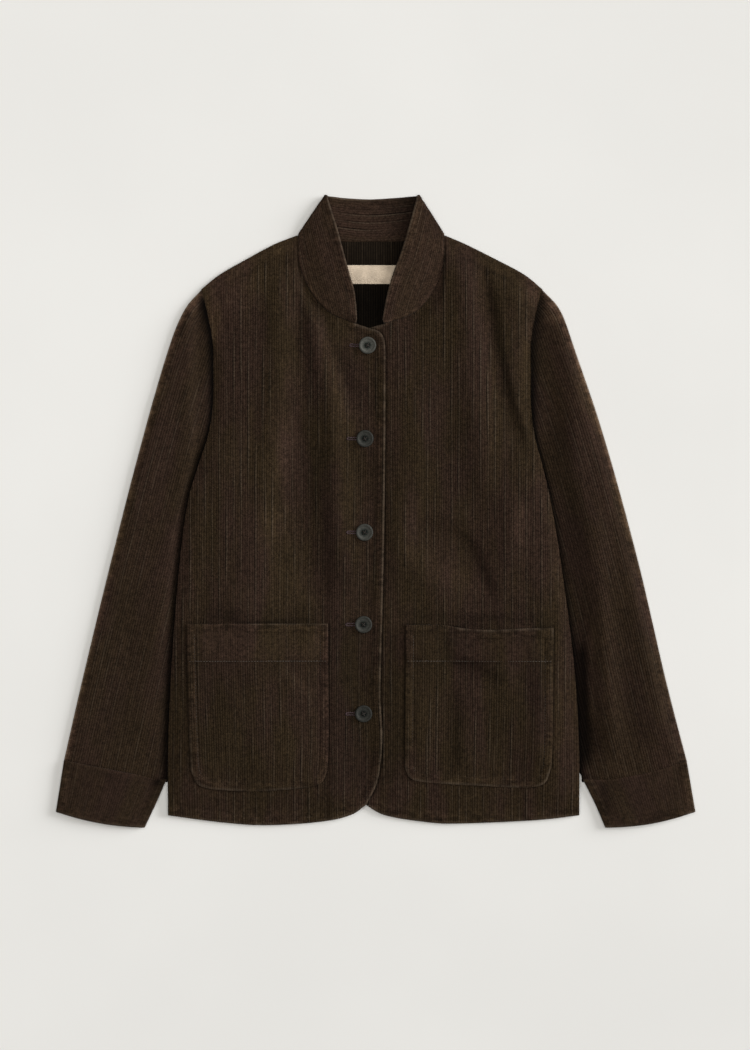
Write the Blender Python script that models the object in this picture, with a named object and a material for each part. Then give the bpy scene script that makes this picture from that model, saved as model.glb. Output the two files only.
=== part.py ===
"""Corduroy jacket, laid flat on its back with its five buttons fastened.

Each cut piece is one closed wall of cloth in its own object. Sizes are in millimetres and become
metres when a mesh is made. X runs from the wearer's right sleeve to the left one, Y from the hem
to the collar, and Z up from the surface that the jacket lies on. "right" and "left" are the
wearer's, so the right side has negative X. The right front laps over the left one.
"""

import math
from collections import namedtuple

import bmesh
import bpy
import numpy as np

METRE = 0.001

# Cloth and seams
CLOTH = 1.8
SEAM_GAP = 0.3
PANEL_GAP = 0.4
LAP_GAP = 0.6
POCKET_GAP = 0.6
CUFF_CLOTH = 2.1
COLLAR_CLOTH = 3.0
COLLAR_TIP_CLOTH = 2.0
POCKET_BAND_EXTRA = 0.9
LABEL_CLOTH = 1.0

# Heights of what lies on the surface
SLEEVE_FOLD_HEIGHT = 4.1
SLEEVE_HEIGHT = 7.0
SLEEVE_RISE = 30.0
CUFF_FOLD_HEIGHT = 4.7
CUFF_HEIGHT = 7.4
FRONT_PUFF = 2.3
FRONT_RISE = 42.0
BUTTON_STRIP_FLATNESS = 0.75
BUTTON_STRIP_WIDTH = 34.0

# The sleeves' inner stretches lie under the body and lift it
SLEEVE_LIFT = 4.7
LIFT_MARGIN = 20.0
LIFT_FADE = 60.0
LIFT_TOP_END = 114.0
LIFT_TOP_FADE = 56.0
LIFT_HEM_END = -352.0
LIFT_HEM_FADE = 44.0

# The lap of the right front over the left one
LAP_EDGE = -44.0
LAP_STEP = 16.0

# Collar
COLLAR_FOLD_RADIUS = 2.3
COLLAR_RISE = 4.6
COLLAR_ROWS = 4

# Buttons
BUTTON_RADIUS = 10.0
BUTTON_HEIGHT = 3.2
BUTTON_HOLE_RADIUS = 0.9
BUTTON_HOLE_SPACING = 3.4
BUTTON_SIDES = 20

# Divisions of the panels
SIDE_SEGMENTS = 16
ARMHOLE_SEGMENTS = 8
SHOULDER_SEGMENTS = 7
NECK_SEGMENTS = 8
LAP_NECK_SEGMENTS = 2
SLEEVE_SEGMENTS = 21
CURVE_STEPS = 12

# Edges as rows across the jacket: the height up the body, and X on the wearer's right and left
Row = namedtuple("Row", "y right left")

SIDE_SEAM = (
    Row(-338.8, -232.4, 228.0),
    Row(-254.8, -231.3, 227.1),
    Row(-165.2, -227.4, 221.2),
    Row(-53.2, -218.4, 206.6),
    Row(12.9, -209.3, 195.4),
    Row(56.6, -196.6, 185.4),
)
ARMHOLE = (
    Row(56.6, -196.6, 185.4),
    Row(84.6, -187.6, 178.1),
    Row(114.8, -182.8, 174.7),
    Row(160.7, -181.6, 174.2),
    Row(199.9, -183.6, 175.3),
    Row(249.2, -195.4, 187.0),
)
SHOULDER = (
    Row(249.2, -195.4, 187.0),
    Row(266.0, -174.2, 166.3),
    Row(282.8, -145.0, 135.0),
    Row(299.6, -113.7, 101.4),
    Row(309.5, -88.5, 78.5),
)
NECKLINE = (
    Row(309.5, -88.5, 78.5),
    Row(285.0, -87.0, 77.2),
    Row(262.0, -80.0, 72.0),
    Row(241.0, -68.4, 60.5),
    Row(222.4, -49.8, 42.0),
    Row(210.8, -21.8, 9.5),
)
SLEEVE_OUTER = (
    Row(249.2, -195.4, 187.0),
    Row(226.0, -214.5, 207.0),
    Row(182.0, -232.4, 223.4),
    Row(81.2, -261.5, 257.0),
    Row(-53.8, -296.2, 294.0),
    Row(-188.2, -328.7, 325.4),
    Row(-277.2, -348.9, 348.3),
)
SLEEVE_INNER = (
    Row(56.6, -196.6, 185.4),
    Row(43.0, -199.6, 188.0),
    Row(17.0, -200.6, 189.0),
    Row(-30.8, -185.0, 178.3),
    Row(-120.4, -167.3, 162.3),
    Row(-223.4, -187.6, 183.1),
    Row(-299.0, -233.8, 229.2),
)
CUFF_OUTER = (Row(-277.2, -348.9, 348.3), Row(-333.5, -357.9, 358.1))
CUFF_INNER = (Row(-299.0, -233.8, 229.2), Row(-325.4, -245.2, 243.8), Row(-352.9, -258.2, 257.0))
CUFF_SEAM_SAG = Row(0.0, 0.5, 6.0)
CUFF_EDGE_SAG = Row(0.0, 5.0, 5.0)

COLLAR_EDGE = (
    Row(213.6, -21.3, 8.3),
    Row(243.6, -24.1, 14.0),
    Row(266.0, -30.2, 20.6),
    Row(288.0, -36.2, 28.8),
    Row(318.1, -44.2, 37.9),
    Row(350.6, -54.3, 46.8),
)

# Edges as points along the jacket
Point = namedtuple("Point", "x y")

BACK_HEM = (
    Point(-232.4, -338.8),
    Point(-150.0, -346.0),
    Point(-60.0, -338.0),
    Point(0.0, -323.0),
    Point(60.0, -338.0),
    Point(150.0, -344.0),
    Point(228.0, -338.8),
)
BACK_NECK = (
    Point(-88.5, 309.5),
    Point(-73.4, 305.8),
    Point(-39.8, 303.5),
    Point(-5.0, 303.2),
    Point(29.7, 303.7),
    Point(63.3, 306.3),
    Point(78.5, 309.5),
)
COLLAR_BACK_EDGE = (
    Point(-54.3, 350.6),
    Point(-34.2, 350.0),
    Point(-6.2, 348.9),
    Point(23.0, 350.4),
    Point(46.8, 350.6),
)
RIGHT_HEM = (
    Point(-232.4, -338.8),
    Point(-174.2, -346.6),
    Point(-124.9, -350.0),
    Point(-65.5, -346.6),
    Point(-28.6, -338.8),
    Point(-10.0, -326.8),
)
RIGHT_OPENING = (
    Point(-10.0, -326.8),
    Point(2.8, -298.5),
    Point(7.8, -254.8),
    Point(5.6, -198.8),
    Point(8.1, -98.0),
    Point(10.6, 36.4),
    Point(11.2, 179.8),
    Point(4.3, 199.1),
)
RIGHT_LAP_NECK = (Point(-21.8, 210.8), Point(-6.0, 207.2), Point(4.3, 199.1))
LEFT_HEM = (
    Point(-14.0, -325.0),
    Point(10.6, -338.8),
    Point(57.7, -346.6),
    Point(94.6, -348.1),
    Point(178.6, -344.4),
    Point(228.0, -338.8),
)
LEFT_OPENING = (
    Point(-14.0, -325.0),
    Point(-28.0, -298.5),
    Point(-32.0, -254.8),
    Point(-32.0, -98.0),
    Point(-32.0, 36.4),
    Point(-32.5, 204.0),
)
LEFT_LAP_NECK = (Point(9.5, 210.8), Point(-8.0, 206.4), Point(-32.5, 204.0))

# Soft ridges (height above zero) and troughs, angle in degrees from +X
Fold = namedtuple("Fold", "x y angle length width height")

FRONT_FOLDS = (
    Fold(-72.0, 154.0, 90.0, 130.0, 13.0, -0.9),
    Fold(-39.0, -20.0, 107.0, 170.0, 15.0, -1.1),
    Fold(-40.0, 158.0, 111.0, 140.0, 12.0, 1.0),
    Fold(-109.0, 20.0, 82.0, 160.0, 18.0, 1.1),
    Fold(-127.0, 171.0, 85.0, 95.0, 15.0, -0.8),
    Fold(117.0, 154.0, 93.0, 190.0, 15.0, 0.9),
    Fold(147.0, 146.0, 108.0, 130.0, 13.0, -0.9),
    Fold(86.0, 137.0, 89.0, 240.0, 16.0, -0.9),
    Fold(67.0, -36.0, 129.0, 160.0, 19.0, 1.0),
    Fold(115.0, -55.0, 111.0, 90.0, 14.0, -0.9),
)
SLEEVE_FOLDS = (
    Fold(-238.0, 60.0, 78.0, 150.0, 14.0, -0.7),
    Fold(-262.0, -70.0, 76.0, 150.0, 16.0, -0.6),
    Fold(-292.0, -200.0, 80.0, 130.0, 15.0, -0.6),
    Fold(226.0, 60.0, 106.0, 120.0, 14.0, -0.6),
    Fold(262.0, -120.0, 105.0, 190.0, 15.0, -0.7),
    Fold(298.0, -215.0, 100.0, 110.0, 14.0, -0.6),
)

# Pockets: the rows run down a pocket, with its two sides at each
PocketRow = namedtuple("PocketRow", "y outer inner")

RIGHT_POCKET = (
    PocketRow(-124.4, -211.0, -52.8),
    PocketRow(-165.0, -210.4, -52.6),
    PocketRow(-253.0, -207.8, -52.2),
    PocketRow(-288.0, -206.0, -53.6),
)
RIGHT_POCKET_FOOT = (
    Point(-206.0, -288.0),
    Point(-196.5, -304.5),
    Point(-173.0, -309.9),
    Point(-130.0, -311.4),
    Point(-78.5, -307.5),
    Point(-60.0, -301.5),
    Point(-53.6, -288.0),
)
LEFT_POCKET = (
    PocketRow(-127.4, 198.8, 33.4),
    PocketRow(-164.0, 198.4, 33.2),
    PocketRow(-253.0, 197.6, 32.4),
    PocketRow(-284.0, 196.2, 32.4),
)
LEFT_POCKET_FOOT = (
    Point(196.2, -284.0),
    Point(188.0, -302.5),
    Point(165.0, -307.2),
    Point(110.0, -305.0),
    Point(57.0, -301.5),
    Point(39.0, -297.0),
    Point(32.4, -284.0),
)
POCKET_BAND_Y = -165.5
POCKET_BAND_EDGE = 1.5
POCKET_SEGMENTS = 10
POCKET_FOOT_CORNER = 0.12

LABEL_LEFT, LABEL_RIGHT = -39.8, 28.6
LABEL_BOTTOM, LABEL_TOP = 255.4, 276.6

BUTTON_PLACES = (
    Point(-9.0, 186.5),
    Point(-11.8, 82.3),
    Point(-12.3, -22.4),
    Point(-13.4, -125.4),
    Point(-13.4, -225.1),
)

CORDUROY_COLOUR = (0.026, 0.017, 0.010, 1.0)
BUTTON_COLOUR = (0.045, 0.050, 0.046, 1.0)
LABEL_COLOUR = (0.62, 0.52, 0.42, 1.0)


# ---- Curves and plans --------------------------------------------------------------------------


def soft_step(value):
    """0 below 0, 1 above 1, and a soft rise between."""
    t = min(max(value, 0.0), 1.0)
    return t * t * (3.0 - 2.0 * t)


def smooth_line(points):
    """Close points on a smooth curve through the given ones."""
    given = np.array(points, float)
    ends = 2 * given[0] - given[1], 2 * given[-1] - given[-2]
    padded = np.vstack([ends[0], given, ends[1]])
    found = []
    for a, b, c, d in zip(padded, padded[1:], padded[2:], padded[3:]):
        for t in np.linspace(0.0, 1.0, CURVE_STEPS, endpoint=False):
            slope = (c - a) * t
            bend = (2 * a - 5 * b + 4 * c - d) * t * t
            twist = (3 * b - a - 3 * c + d) * t**3
            found.append(b + 0.5 * (slope + bend + twist))
    return np.vstack([found, given[-1]])


def along(line, shares):
    """Points at the given shares of a line's length."""
    steps = np.linalg.norm(np.diff(line, axis=0), axis=1)
    run = np.concatenate([[0.0], np.cumsum(steps)])
    at = np.asarray(shares) * run[-1]
    return np.column_stack([np.interp(at, run, line[:, 0]), np.interp(at, run, line[:, 1])])


def even_line(points, segments):
    """A smooth curve cut into even segments."""
    return along(smooth_line(points), np.linspace(0.0, 1.0, segments + 1))


def side_points(rows, side):
    """The plan points of a table of rows, on one side of the jacket."""
    return [(getattr(row, side), row.y) for row in rows]


def chain(*lines):
    """Lines that meet end to end, as one."""
    return np.vstack([lines[0]] + [line[1:] for line in lines[1:]])


class Patch:
    """A plan between four edges: u runs along foot and head, v from the foot to the head.

    The bow of the foot is carried into the plan less far where foot_fade is above one.
    """

    def __init__(self, foot, head, start, end, foot_fade=1):
        self.edges = foot, head, start, end
        self.foot_fade = foot_fade

    def shares(self, edge):
        return np.linspace(0.0, 1.0, len(self.edges[edge]))

    def on(self, edge, share):
        line = self.edges[edge]
        shares = self.shares(edge)
        return np.array([np.interp(share, shares, line[:, 0]), np.interp(share, shares, line[:, 1])])

    def at(self, u, v):
        foot_bow = self.on(0, u) - (1 - u) * self.on(0, 0) - u * self.on(0, 1)
        head_bow = self.on(1, u) - (1 - u) * self.on(1, 0) - u * self.on(1, 1)
        straight = (1 - u) * self.on(2, v) + u * self.on(3, v)
        return straight + (1 - v) ** self.foot_fade * foot_bow + v * head_bow

    def grid(self):
        return [[self.at(u, v) for u in self.shares(0)] for v in self.shares(2)]


# ---- Heights of the cloth ----------------------------------------------------------------------


class Edges:
    """The smooth edges that the heights are worked out from, as lines to look up."""

    def __init__(self):
        self.lines = {}
        for side in ("right", "left"):
            body = chain(
                smooth_line(side_points(SIDE_SEAM, side)), smooth_line(side_points(ARMHOLE, side))
            )
            neck = smooth_line(side_points(NECKLINE, side))[::-1]
            shoulder = smooth_line(side_points(SHOULDER, side))[::-1]
            self.lines["body", side] = body
            self.lines["inner", side] = smooth_line(side_points(SLEEVE_INNER, side))[::-1]
            self.lines["outer", side] = smooth_line(side_points(SLEEVE_OUTER, side))[::-1]
            self.lines["top", side] = np.abs(chain(neck, shoulder))

    def out(self, name, x, y):
        """How far an edge is from the middle of the jacket at a height."""
        line = self.lines[name, side_of(x)]
        return float(np.interp(y, line[:, 1], np.abs(line[:, 0])))

    def top(self, x):
        """How far up the neckline or the shoulder is."""
        line = self.lines["top", side_of(x)]
        return float(np.interp(abs(x), line[:, 0], line[:, 1]))


def side_of(x):
    return "right" if x < 0 else "left"


EDGES = Edges()


def folds_at(folds, x, y):
    """The height that soft ridges and troughs add."""
    total = 0.0
    for fold in folds:
        turn = math.radians(fold.angle)
        dx, dy = x - fold.x, y - fold.y
        down = dx * math.cos(turn) + dy * math.sin(turn)
        across = dy * math.cos(turn) - dx * math.sin(turn)
        fade = soft_step(1.6 * (1.0 - abs(2.0 * down / fold.length)))
        total += fold.height * fade * math.exp(-((across / fold.width) ** 2))
    return total


def back_under(x, y):
    """The underside of the back: on the surface, or lifted by the sleeve below."""
    inside = abs(x) - EDGES.out("inner", x, y) + LIFT_MARGIN
    across = soft_step((inside + LIFT_FADE) / LIFT_FADE)
    top = soft_step((LIFT_TOP_END - y) / LIFT_TOP_FADE)
    hem = soft_step((y - LIFT_HEM_END) / LIFT_HEM_FADE)
    return SLEEVE_LIFT * across * top * hem


def front_puff(x, y):
    """How far the fronts stand off the back, less at their seams and at the button strip."""
    from_side = soft_step((EDGES.out("body", x, y) - abs(x)) / FRONT_RISE)
    from_hem = soft_step((y - SIDE_SEAM[0].y) / FRONT_RISE)
    from_top = soft_step((EDGES.top(x) - y) / FRONT_RISE)
    strip = 1.0 - BUTTON_STRIP_FLATNESS * math.exp(-((x - LAP_EDGE / 3) / BUTTON_STRIP_WIDTH) ** 2)
    height = FRONT_PUFF + folds_at(FRONT_FOLDS, x, y)
    return height * from_side * from_hem * from_top * strip


def left_front_under(x, y):
    return back_under(x, y) + CLOTH + PANEL_GAP + front_puff(x, y)


def right_front_under(x, y):
    lap = soft_step((x - LAP_EDGE + LAP_STEP) / LAP_STEP)
    return left_front_under(x, y) + (CLOTH + LAP_GAP) * lap


def front_top(x, y):
    """The top of whichever front shows at a place."""
    if x <= x_of_opening(y):
        return right_front_under(x, y) + CLOTH
    return left_front_under(x, y) + CLOTH


def x_of_opening(y):
    line = smooth_line(RIGHT_OPENING)
    return float(np.interp(y, line[:, 1], line[:, 0]))


def sleeve_top(x, y):
    """The top of a sleeve: low at its folds and where the body lies on it."""
    limit = max(EDGES.out("body", x, y), EDGES.out("inner", x, y))
    from_body = soft_step((abs(x) - limit) / SLEEVE_RISE)
    from_fold = soft_step((EDGES.out("outer", x, y) - abs(x)) / SLEEVE_RISE)
    rise = SLEEVE_HEIGHT - SLEEVE_FOLD_HEIGHT + folds_at(SLEEVE_FOLDS, x, y)
    return SLEEVE_FOLD_HEIGHT + rise * from_body * from_fold


# ---- Meshes ------------------------------------------------------------------------------------


def material(name, colour, roughness):
    made = bpy.data.materials.new(name)
    made.use_nodes = True
    surface = made.node_tree.nodes["Principled BSDF"]
    surface.inputs["Base Color"].default_value = colour
    surface.inputs["Roughness"].default_value = roughness
    surface.inputs["Metallic"].default_value = 0.0
    made.diffuse_color = colour
    return made


def add_object(name, vertices, faces, finish):
    mesh = bpy.data.meshes.new(name)
    mesh.from_pydata([tuple(METRE * c for c in v) for v in vertices], [], faces)
    made = bpy.data.objects.new(name, mesh)
    bpy.context.scene.collection.objects.link(made)
    shape = bmesh.new()
    shape.from_mesh(mesh)
    bmesh.ops.recalc_face_normals(shape, faces=shape.faces)
    shape.to_mesh(mesh)
    shape.free()
    mesh.materials.append(finish)
    mesh.shade_smooth()
    mesh.set_sharp_from_angle(angle=math.radians(50.0))
    return made


def grid_faces(rows, columns, first, turned=False):
    """Faces of a grid of vertices that starts at a number."""
    faces = []
    for row in range(rows - 1):
        for column in range(columns - 1):
            a = first + row * columns + column
            face = (a, a + 1, a + columns + 1, a + columns)
            faces.append(face[::-1] if turned else face)
    return faces


def rim_faces(rows, columns, below):
    """Faces between the rims of a grid and of the same grid below it."""
    foot = list(range(columns))
    end = [row * columns + columns - 1 for row in range(1, rows)]
    head = [(rows - 1) * columns + column for column in range(columns - 2, -1, -1)]
    start = [row * columns for row in range(rows - 2, 0, -1)]
    loop = foot + end + head + start
    return [(a, b, b + below, a + below) for a, b in zip(loop, loop[1:] + loop[:1])]


def add_wall(name, plan, under, thickness, finish):
    """A panel: a plan grid raised to its underside, and again by its thickness."""
    rows, columns = len(plan), len(plan[0])
    points = [point for row in plan for point in row]
    tops = [(x, y, under(x, y) + thickness(x, y)) for x, y in points]
    bottoms = [(x, y, under(x, y)) for x, y in points]
    faces = grid_faces(rows, columns, 0)
    faces += grid_faces(rows, columns, len(points), turned=True)
    faces += rim_faces(rows, columns, len(points))
    return add_object(name, tops + bottoms, faces, finish)


def cloth_thickness(_x, _y):
    return CLOTH


# The stations across a flattened tube: share of its width on top, then back underneath
TUBE_TOP = (0.0, 0.025, 0.10, 0.22, 0.36, 0.5, 0.64, 0.78, 0.90, 0.975, 1.0)
TUBE_BOTTOM = (0.975, 0.66, 0.34, 0.025)


def tube_ring(plan, v, top, fold_height, wall):
    """One ring of a flattened tube, or of its hollow where wall is above zero."""
    width = np.linalg.norm(plan.at(0.0, v) - plan.at(1.0, v))
    inset = wall / width
    ring = []
    for share in TUBE_TOP + TUBE_BOTTOM:
        x, y = plan.at(inset + share * (1.0 - 2.0 * inset), v)
        if share in (0.0, 1.0):
            z = fold_height / 2
        elif len(ring) < len(TUBE_TOP):
            z = top(*plan.at(share, v)) - wall
        else:
            z = wall
        ring.append((x, y, z))
    return ring


def add_tube(name, plan, stations, top, fold_height, wall, finish):
    """A flattened tube of cloth that is open at both ends."""
    size = len(TUBE_TOP) + len(TUBE_BOTTOM)
    vertices = []
    for inside in (0.0, wall):
        for v in stations:
            vertices += tube_ring(plan, v, top, fold_height, inside)
    hollow = size * len(stations)
    faces = []
    for row in range(len(stations) - 1):
        for k in range(size):
            a, b = row * size + k, row * size + (k + 1) % size
            faces.append((a, b, b + size, a + size))
            faces.append((a + hollow, a + size + hollow, b + size + hollow, b + hollow))
    for row in (0, len(stations) - 1):
        for k in range(size):
            a, b = row * size + k, row * size + (k + 1) % size
            faces.append((a, a + hollow, b + hollow, b))
    return add_object(name, vertices, faces, finish)


# ---- Body --------------------------------------------------------------------------------------


def side_edge(side):
    """The side seam and the armhole, from the hem to the shoulder."""
    return chain(
        even_line(side_points(SIDE_SEAM, side), SIDE_SEGMENTS),
        even_line(side_points(ARMHOLE, side), ARMHOLE_SEGMENTS),
    )


def shoulder_edge(side):
    return even_line(side_points(SHOULDER, side), SHOULDER_SEGMENTS)


def neck_edge(side):
    """The sewn neckline, from the shoulder to the collar's end."""
    return even_line(side_points(NECKLINE, side), NECK_SEGMENTS)


def add_back(finish):
    neck = even_line(BACK_NECK, NECK_SEGMENTS)
    head = chain(shoulder_edge("right"), neck, shoulder_edge("left")[::-1])
    foot = even_line(BACK_HEM, len(head) - 1)
    plan = Patch(foot, head, side_edge("right"), side_edge("left"))
    return add_wall("back", plan.grid(), back_under, cloth_thickness, finish)


def add_front(side, hem, opening, lap_neck, under, finish):
    """One front, between its side seam and its opening edge."""
    outer = side_edge(side)
    head = chain(shoulder_edge(side), neck_edge(side), even_line(lap_neck, LAP_NECK_SEGMENTS))
    foot = even_line(hem if side == "right" else hem[::-1], len(head) - 1)
    inner = even_line(opening, len(outer) - 1)
    plan = Patch(foot, head, outer, inner)
    return add_wall("front_" + side, plan.grid(), under, cloth_thickness, finish)


# ---- Sleeves and cuffs -------------------------------------------------------------------------


def sagging_line(start, end, sag, segments=8):
    """A line between two points that sags towards the hem in its middle."""
    shares = np.linspace(0.0, 1.0, segments + 1)
    line = np.outer(1.0 - shares, start) + np.outer(shares, end)
    line[:, 1] -= sag * np.sin(math.pi * shares)
    return line


def cuff_seam(side, past):
    """The seam between a sleeve and its cuff, or that line moved past it towards the hand."""
    start = np.array([getattr(CUFF_OUTER[0], side), CUFF_OUTER[0].y - past])
    end = np.array([getattr(CUFF_INNER[0], side), CUFF_INNER[0].y - past])
    return sagging_line(start, end, getattr(CUFF_SEAM_SAG, side))


def add_sleeve(side, finish):
    outward = -1.0 if side == "right" else 1.0
    armhole = even_line(side_points(ARMHOLE, side), ARMHOLE_SEGMENTS)[::-1]
    armhole = armhole + np.array([outward * SEAM_GAP, 0.0])
    outer = even_line(side_points(SLEEVE_OUTER, side), SLEEVE_SEGMENTS)
    inner = even_line(side_points(SLEEVE_INNER, side), SLEEVE_SEGMENTS)
    hand = cuff_seam(side, 0.0)
    outer[0], inner[0] = armhole[0], armhole[-1]
    plan = Patch(armhole, hand, outer, inner, foot_fade=4)
    stations = np.linspace(0.0, 1.0, SLEEVE_SEGMENTS + 1)
    return add_tube(
        "sleeve_" + side, plan, stations, sleeve_top, SLEEVE_FOLD_HEIGHT, CLOTH, finish
    )


def add_cuff(side, finish):
    seam = cuff_seam(side, SEAM_GAP)
    start = np.array([getattr(CUFF_OUTER[-1], side), CUFF_OUTER[-1].y])
    end = np.array([getattr(CUFF_INNER[-1], side), CUFF_INNER[-1].y])
    edge = sagging_line(start, end, getattr(CUFF_EDGE_SAG, side))
    outer = even_line(side_points(CUFF_OUTER, side), 3)
    inner = even_line(side_points(CUFF_INNER, side), 3)
    outer[0], inner[0] = seam[0], seam[-1]
    plan = Patch(seam, edge, outer, inner)
    middle = (start + end) / 2

    def cuff_top(x, y):
        """Highest in the middle of the band, from fold to fold."""
        spread = abs(x - middle[0]) / abs(start[0] - end[0])
        rise = soft_step(2.6 * (0.62 - spread))
        return CUFF_FOLD_HEIGHT + (CUFF_HEIGHT - CUFF_FOLD_HEIGHT) * rise

    stations = np.linspace(0.0, 1.0, 4)
    return add_tube("cuff_" + side, plan, stations, cuff_top, CUFF_FOLD_HEIGHT, CUFF_CLOTH, finish)


# ---- Collar ------------------------------------------------------------------------------------


def collar_back_stations():
    """Seam and top edge of the band behind the neck, from the right fold to the left fold."""
    seam = even_line(BACK_NECK, NECK_SEGMENTS) + np.array([0.0, PANEL_GAP])
    edge = even_line(COLLAR_BACK_EDGE, NECK_SEGMENTS)
    height = COLLAR_CLOTH / 2
    return [((*s, height), (*e, height)) for s, e in zip(seam, edge)]


def collar_turn_stations(fold):
    """The half turn of the band at a fold, from its front layer to its back layer."""
    seam, edge = np.array(fold[0][:2]), np.array(fold[1][:2])
    run = (edge - seam) / np.linalg.norm(edge - seam)
    outward = np.array([-run[1], run[0]]) * math.copysign(1.0, -run[1] * seam[0])
    middle = COLLAR_CLOTH / 2 + COLLAR_FOLD_RADIUS
    stations = []
    for angle in (45.0, 0.0, -45.0):
        turn = math.radians(angle)
        shift = outward * COLLAR_FOLD_RADIUS * math.cos(turn)
        height = middle + COLLAR_FOLD_RADIUS * math.sin(turn)
        stations.append(((*(seam + shift), height), (*(edge + shift), height)))
    return stations


def collar_front_stations(side, fold):
    """Seam and top edge of a collar front, from its tip to the fold, with their heights."""
    seam = neck_edge(side)[::-1]
    edge = even_line(side_points(COLLAR_EDGE, side), NECK_SEGMENTS)
    seam[-1], edge[-1] = fold[0][:2], fold[1][:2]
    over = CLOTH + LAP_GAP if side == "right" else 0.0
    tip_height = CLOTH + PANEL_GAP + COLLAR_CLOTH / 2 + over
    fold_height = COLLAR_CLOTH / 2 + 2 * COLLAR_FOLD_RADIUS
    stations = []
    for k in range(NECK_SEGMENTS + 1):
        share = k / NECK_SEGMENTS
        height = tip_height + (fold_height - tip_height) * soft_step(share)
        rise = COLLAR_RISE * math.sin(math.pi * share) ** 0.8
        reach = edge[k] - seam[k]
        gap = 0.0 if k == NECK_SEGMENTS else SEAM_GAP
        off = seam[k] + reach * gap / np.linalg.norm(reach)
        stations.append(((*off, height), (*edge[k], height + rise)))
    return stations


def add_collar(finish):
    """One band, swept from the right tip round the neck to the left tip."""
    back = collar_back_stations()
    right = collar_front_stations("right", back[0]) + collar_turn_stations(back[0])
    left = collar_front_stations("left", back[-1]) + collar_turn_stations(back[-1])
    stations = right + back + left[::-1]
    shares = np.linspace(0.0, 1.0, COLLAR_ROWS)
    middle = np.array([[(1 - k) * np.array(s) + k * np.array(e) for k in shares] for s, e in stations])
    normal = np.cross(np.gradient(middle, axis=1), np.gradient(middle, axis=0))
    normal /= np.linalg.norm(normal, axis=2, keepdims=True)
    thickness = np.full((len(stations), 1, 1), COLLAR_CLOTH)
    thickness[[0, -1]] = COLLAR_TIP_CLOTH
    outer = (middle + normal * thickness / 2).reshape(-1, 3)
    inner = (middle - normal * thickness / 2).reshape(-1, 3)
    rows, columns = middle.shape[:2]
    faces = grid_faces(rows, columns, 0)
    faces += grid_faces(rows, columns, len(outer), turned=True)
    faces += rim_faces(rows, columns, len(outer))
    return add_object("collar", np.vstack([outer, inner]), faces, finish)


# ---- What lies on the body ---------------------------------------------------------------------


def pocket_thickness(_x, y):
    """One layer of cloth, and the turned band above the stitch line."""
    step = soft_step((y - POCKET_BAND_Y + POCKET_BAND_EDGE) / (2 * POCKET_BAND_EDGE))
    return CLOTH + POCKET_BAND_EXTRA * step


def pocket_side(rows, edge, heights):
    line = smooth_line([(getattr(row, edge), row.y) for row in rows])[::-1]
    return np.column_stack([np.interp(heights, line[:, 1], line[:, 0]), heights])


def add_pocket(side, rows, foot, finish):
    """A patch pocket, from its rounded foot to its top band."""
    band = [POCKET_BAND_Y - POCKET_BAND_EDGE, POCKET_BAND_Y + POCKET_BAND_EDGE]
    line = smooth_line(foot)
    low = along(line, [POCKET_FOOT_CORNER, 1.0 - POCKET_FOOT_CORNER])
    lower = np.linspace(rows[-1].y, band[0], POCKET_SEGMENTS)
    upper = np.linspace(band[1], rows[0].y, 4)
    heights = np.concatenate([lower, upper])
    outer = np.vstack([low[0], pocket_side(rows, "outer", heights)])
    inner = np.vstack([low[1], pocket_side(rows, "inner", heights)])
    shares = np.linspace(POCKET_FOOT_CORNER, 1.0 - POCKET_FOOT_CORNER, POCKET_SEGMENTS + 1)
    bottom = along(line, shares)
    top = sagging_line(outer[-1], inner[-1], 0.0, POCKET_SEGMENTS)
    plan = Patch(bottom, top, outer, inner)

    def pocket_under(x, y):
        return front_top(x, y) + POCKET_GAP

    return add_wall("pocket_" + side, plan.grid(), pocket_under, pocket_thickness, finish)


def add_label(finish):
    xs = np.linspace(LABEL_LEFT, LABEL_RIGHT, 5)
    ys = np.linspace(LABEL_BOTTOM, LABEL_TOP, 3)
    plan = [[np.array([x, y]) for x in xs] for y in ys]

    def label_under(x, y):
        return back_under(x, y) + CLOTH + SEAM_GAP

    return add_wall("neck_label", plan, label_under, lambda _x, _y: LABEL_CLOTH, finish)


# The turned profile of a button, as shares of its radius and of its height
ProfilePoint = namedtuple("ProfilePoint", "out up")

BUTTON_PROFILE = (
    ProfilePoint(0.84, 0.0),
    ProfilePoint(1.0, 0.34),
    ProfilePoint(0.97, 0.72),
    ProfilePoint(0.84, 1.0),
    ProfilePoint(0.70, 0.94),
    ProfilePoint(0.58, 0.60),
)


def turned_button(name, finish):
    """A button turned about its own axis, with its underside at zero."""
    vertices = []
    for point in BUTTON_PROFILE:
        for k in range(BUTTON_SIDES):
            turn = 2 * math.pi * k / BUTTON_SIDES
            out = BUTTON_RADIUS * point.out
            up = BUTTON_HEIGHT * point.up
            vertices.append((out * math.cos(turn), out * math.sin(turn), up))
    faces = [tuple(range(BUTTON_SIDES))[::-1]]
    for ring in range(len(BUTTON_PROFILE) - 1):
        for k in range(BUTTON_SIDES):
            a = ring * BUTTON_SIDES + k
            b = ring * BUTTON_SIDES + (k + 1) % BUTTON_SIDES
            faces.append((a, b, b + BUTTON_SIDES, a + BUTTON_SIDES))
    faces.append(tuple(range(len(vertices) - BUTTON_SIDES, len(vertices))))
    return add_object(name, vertices, faces, finish)


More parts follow.
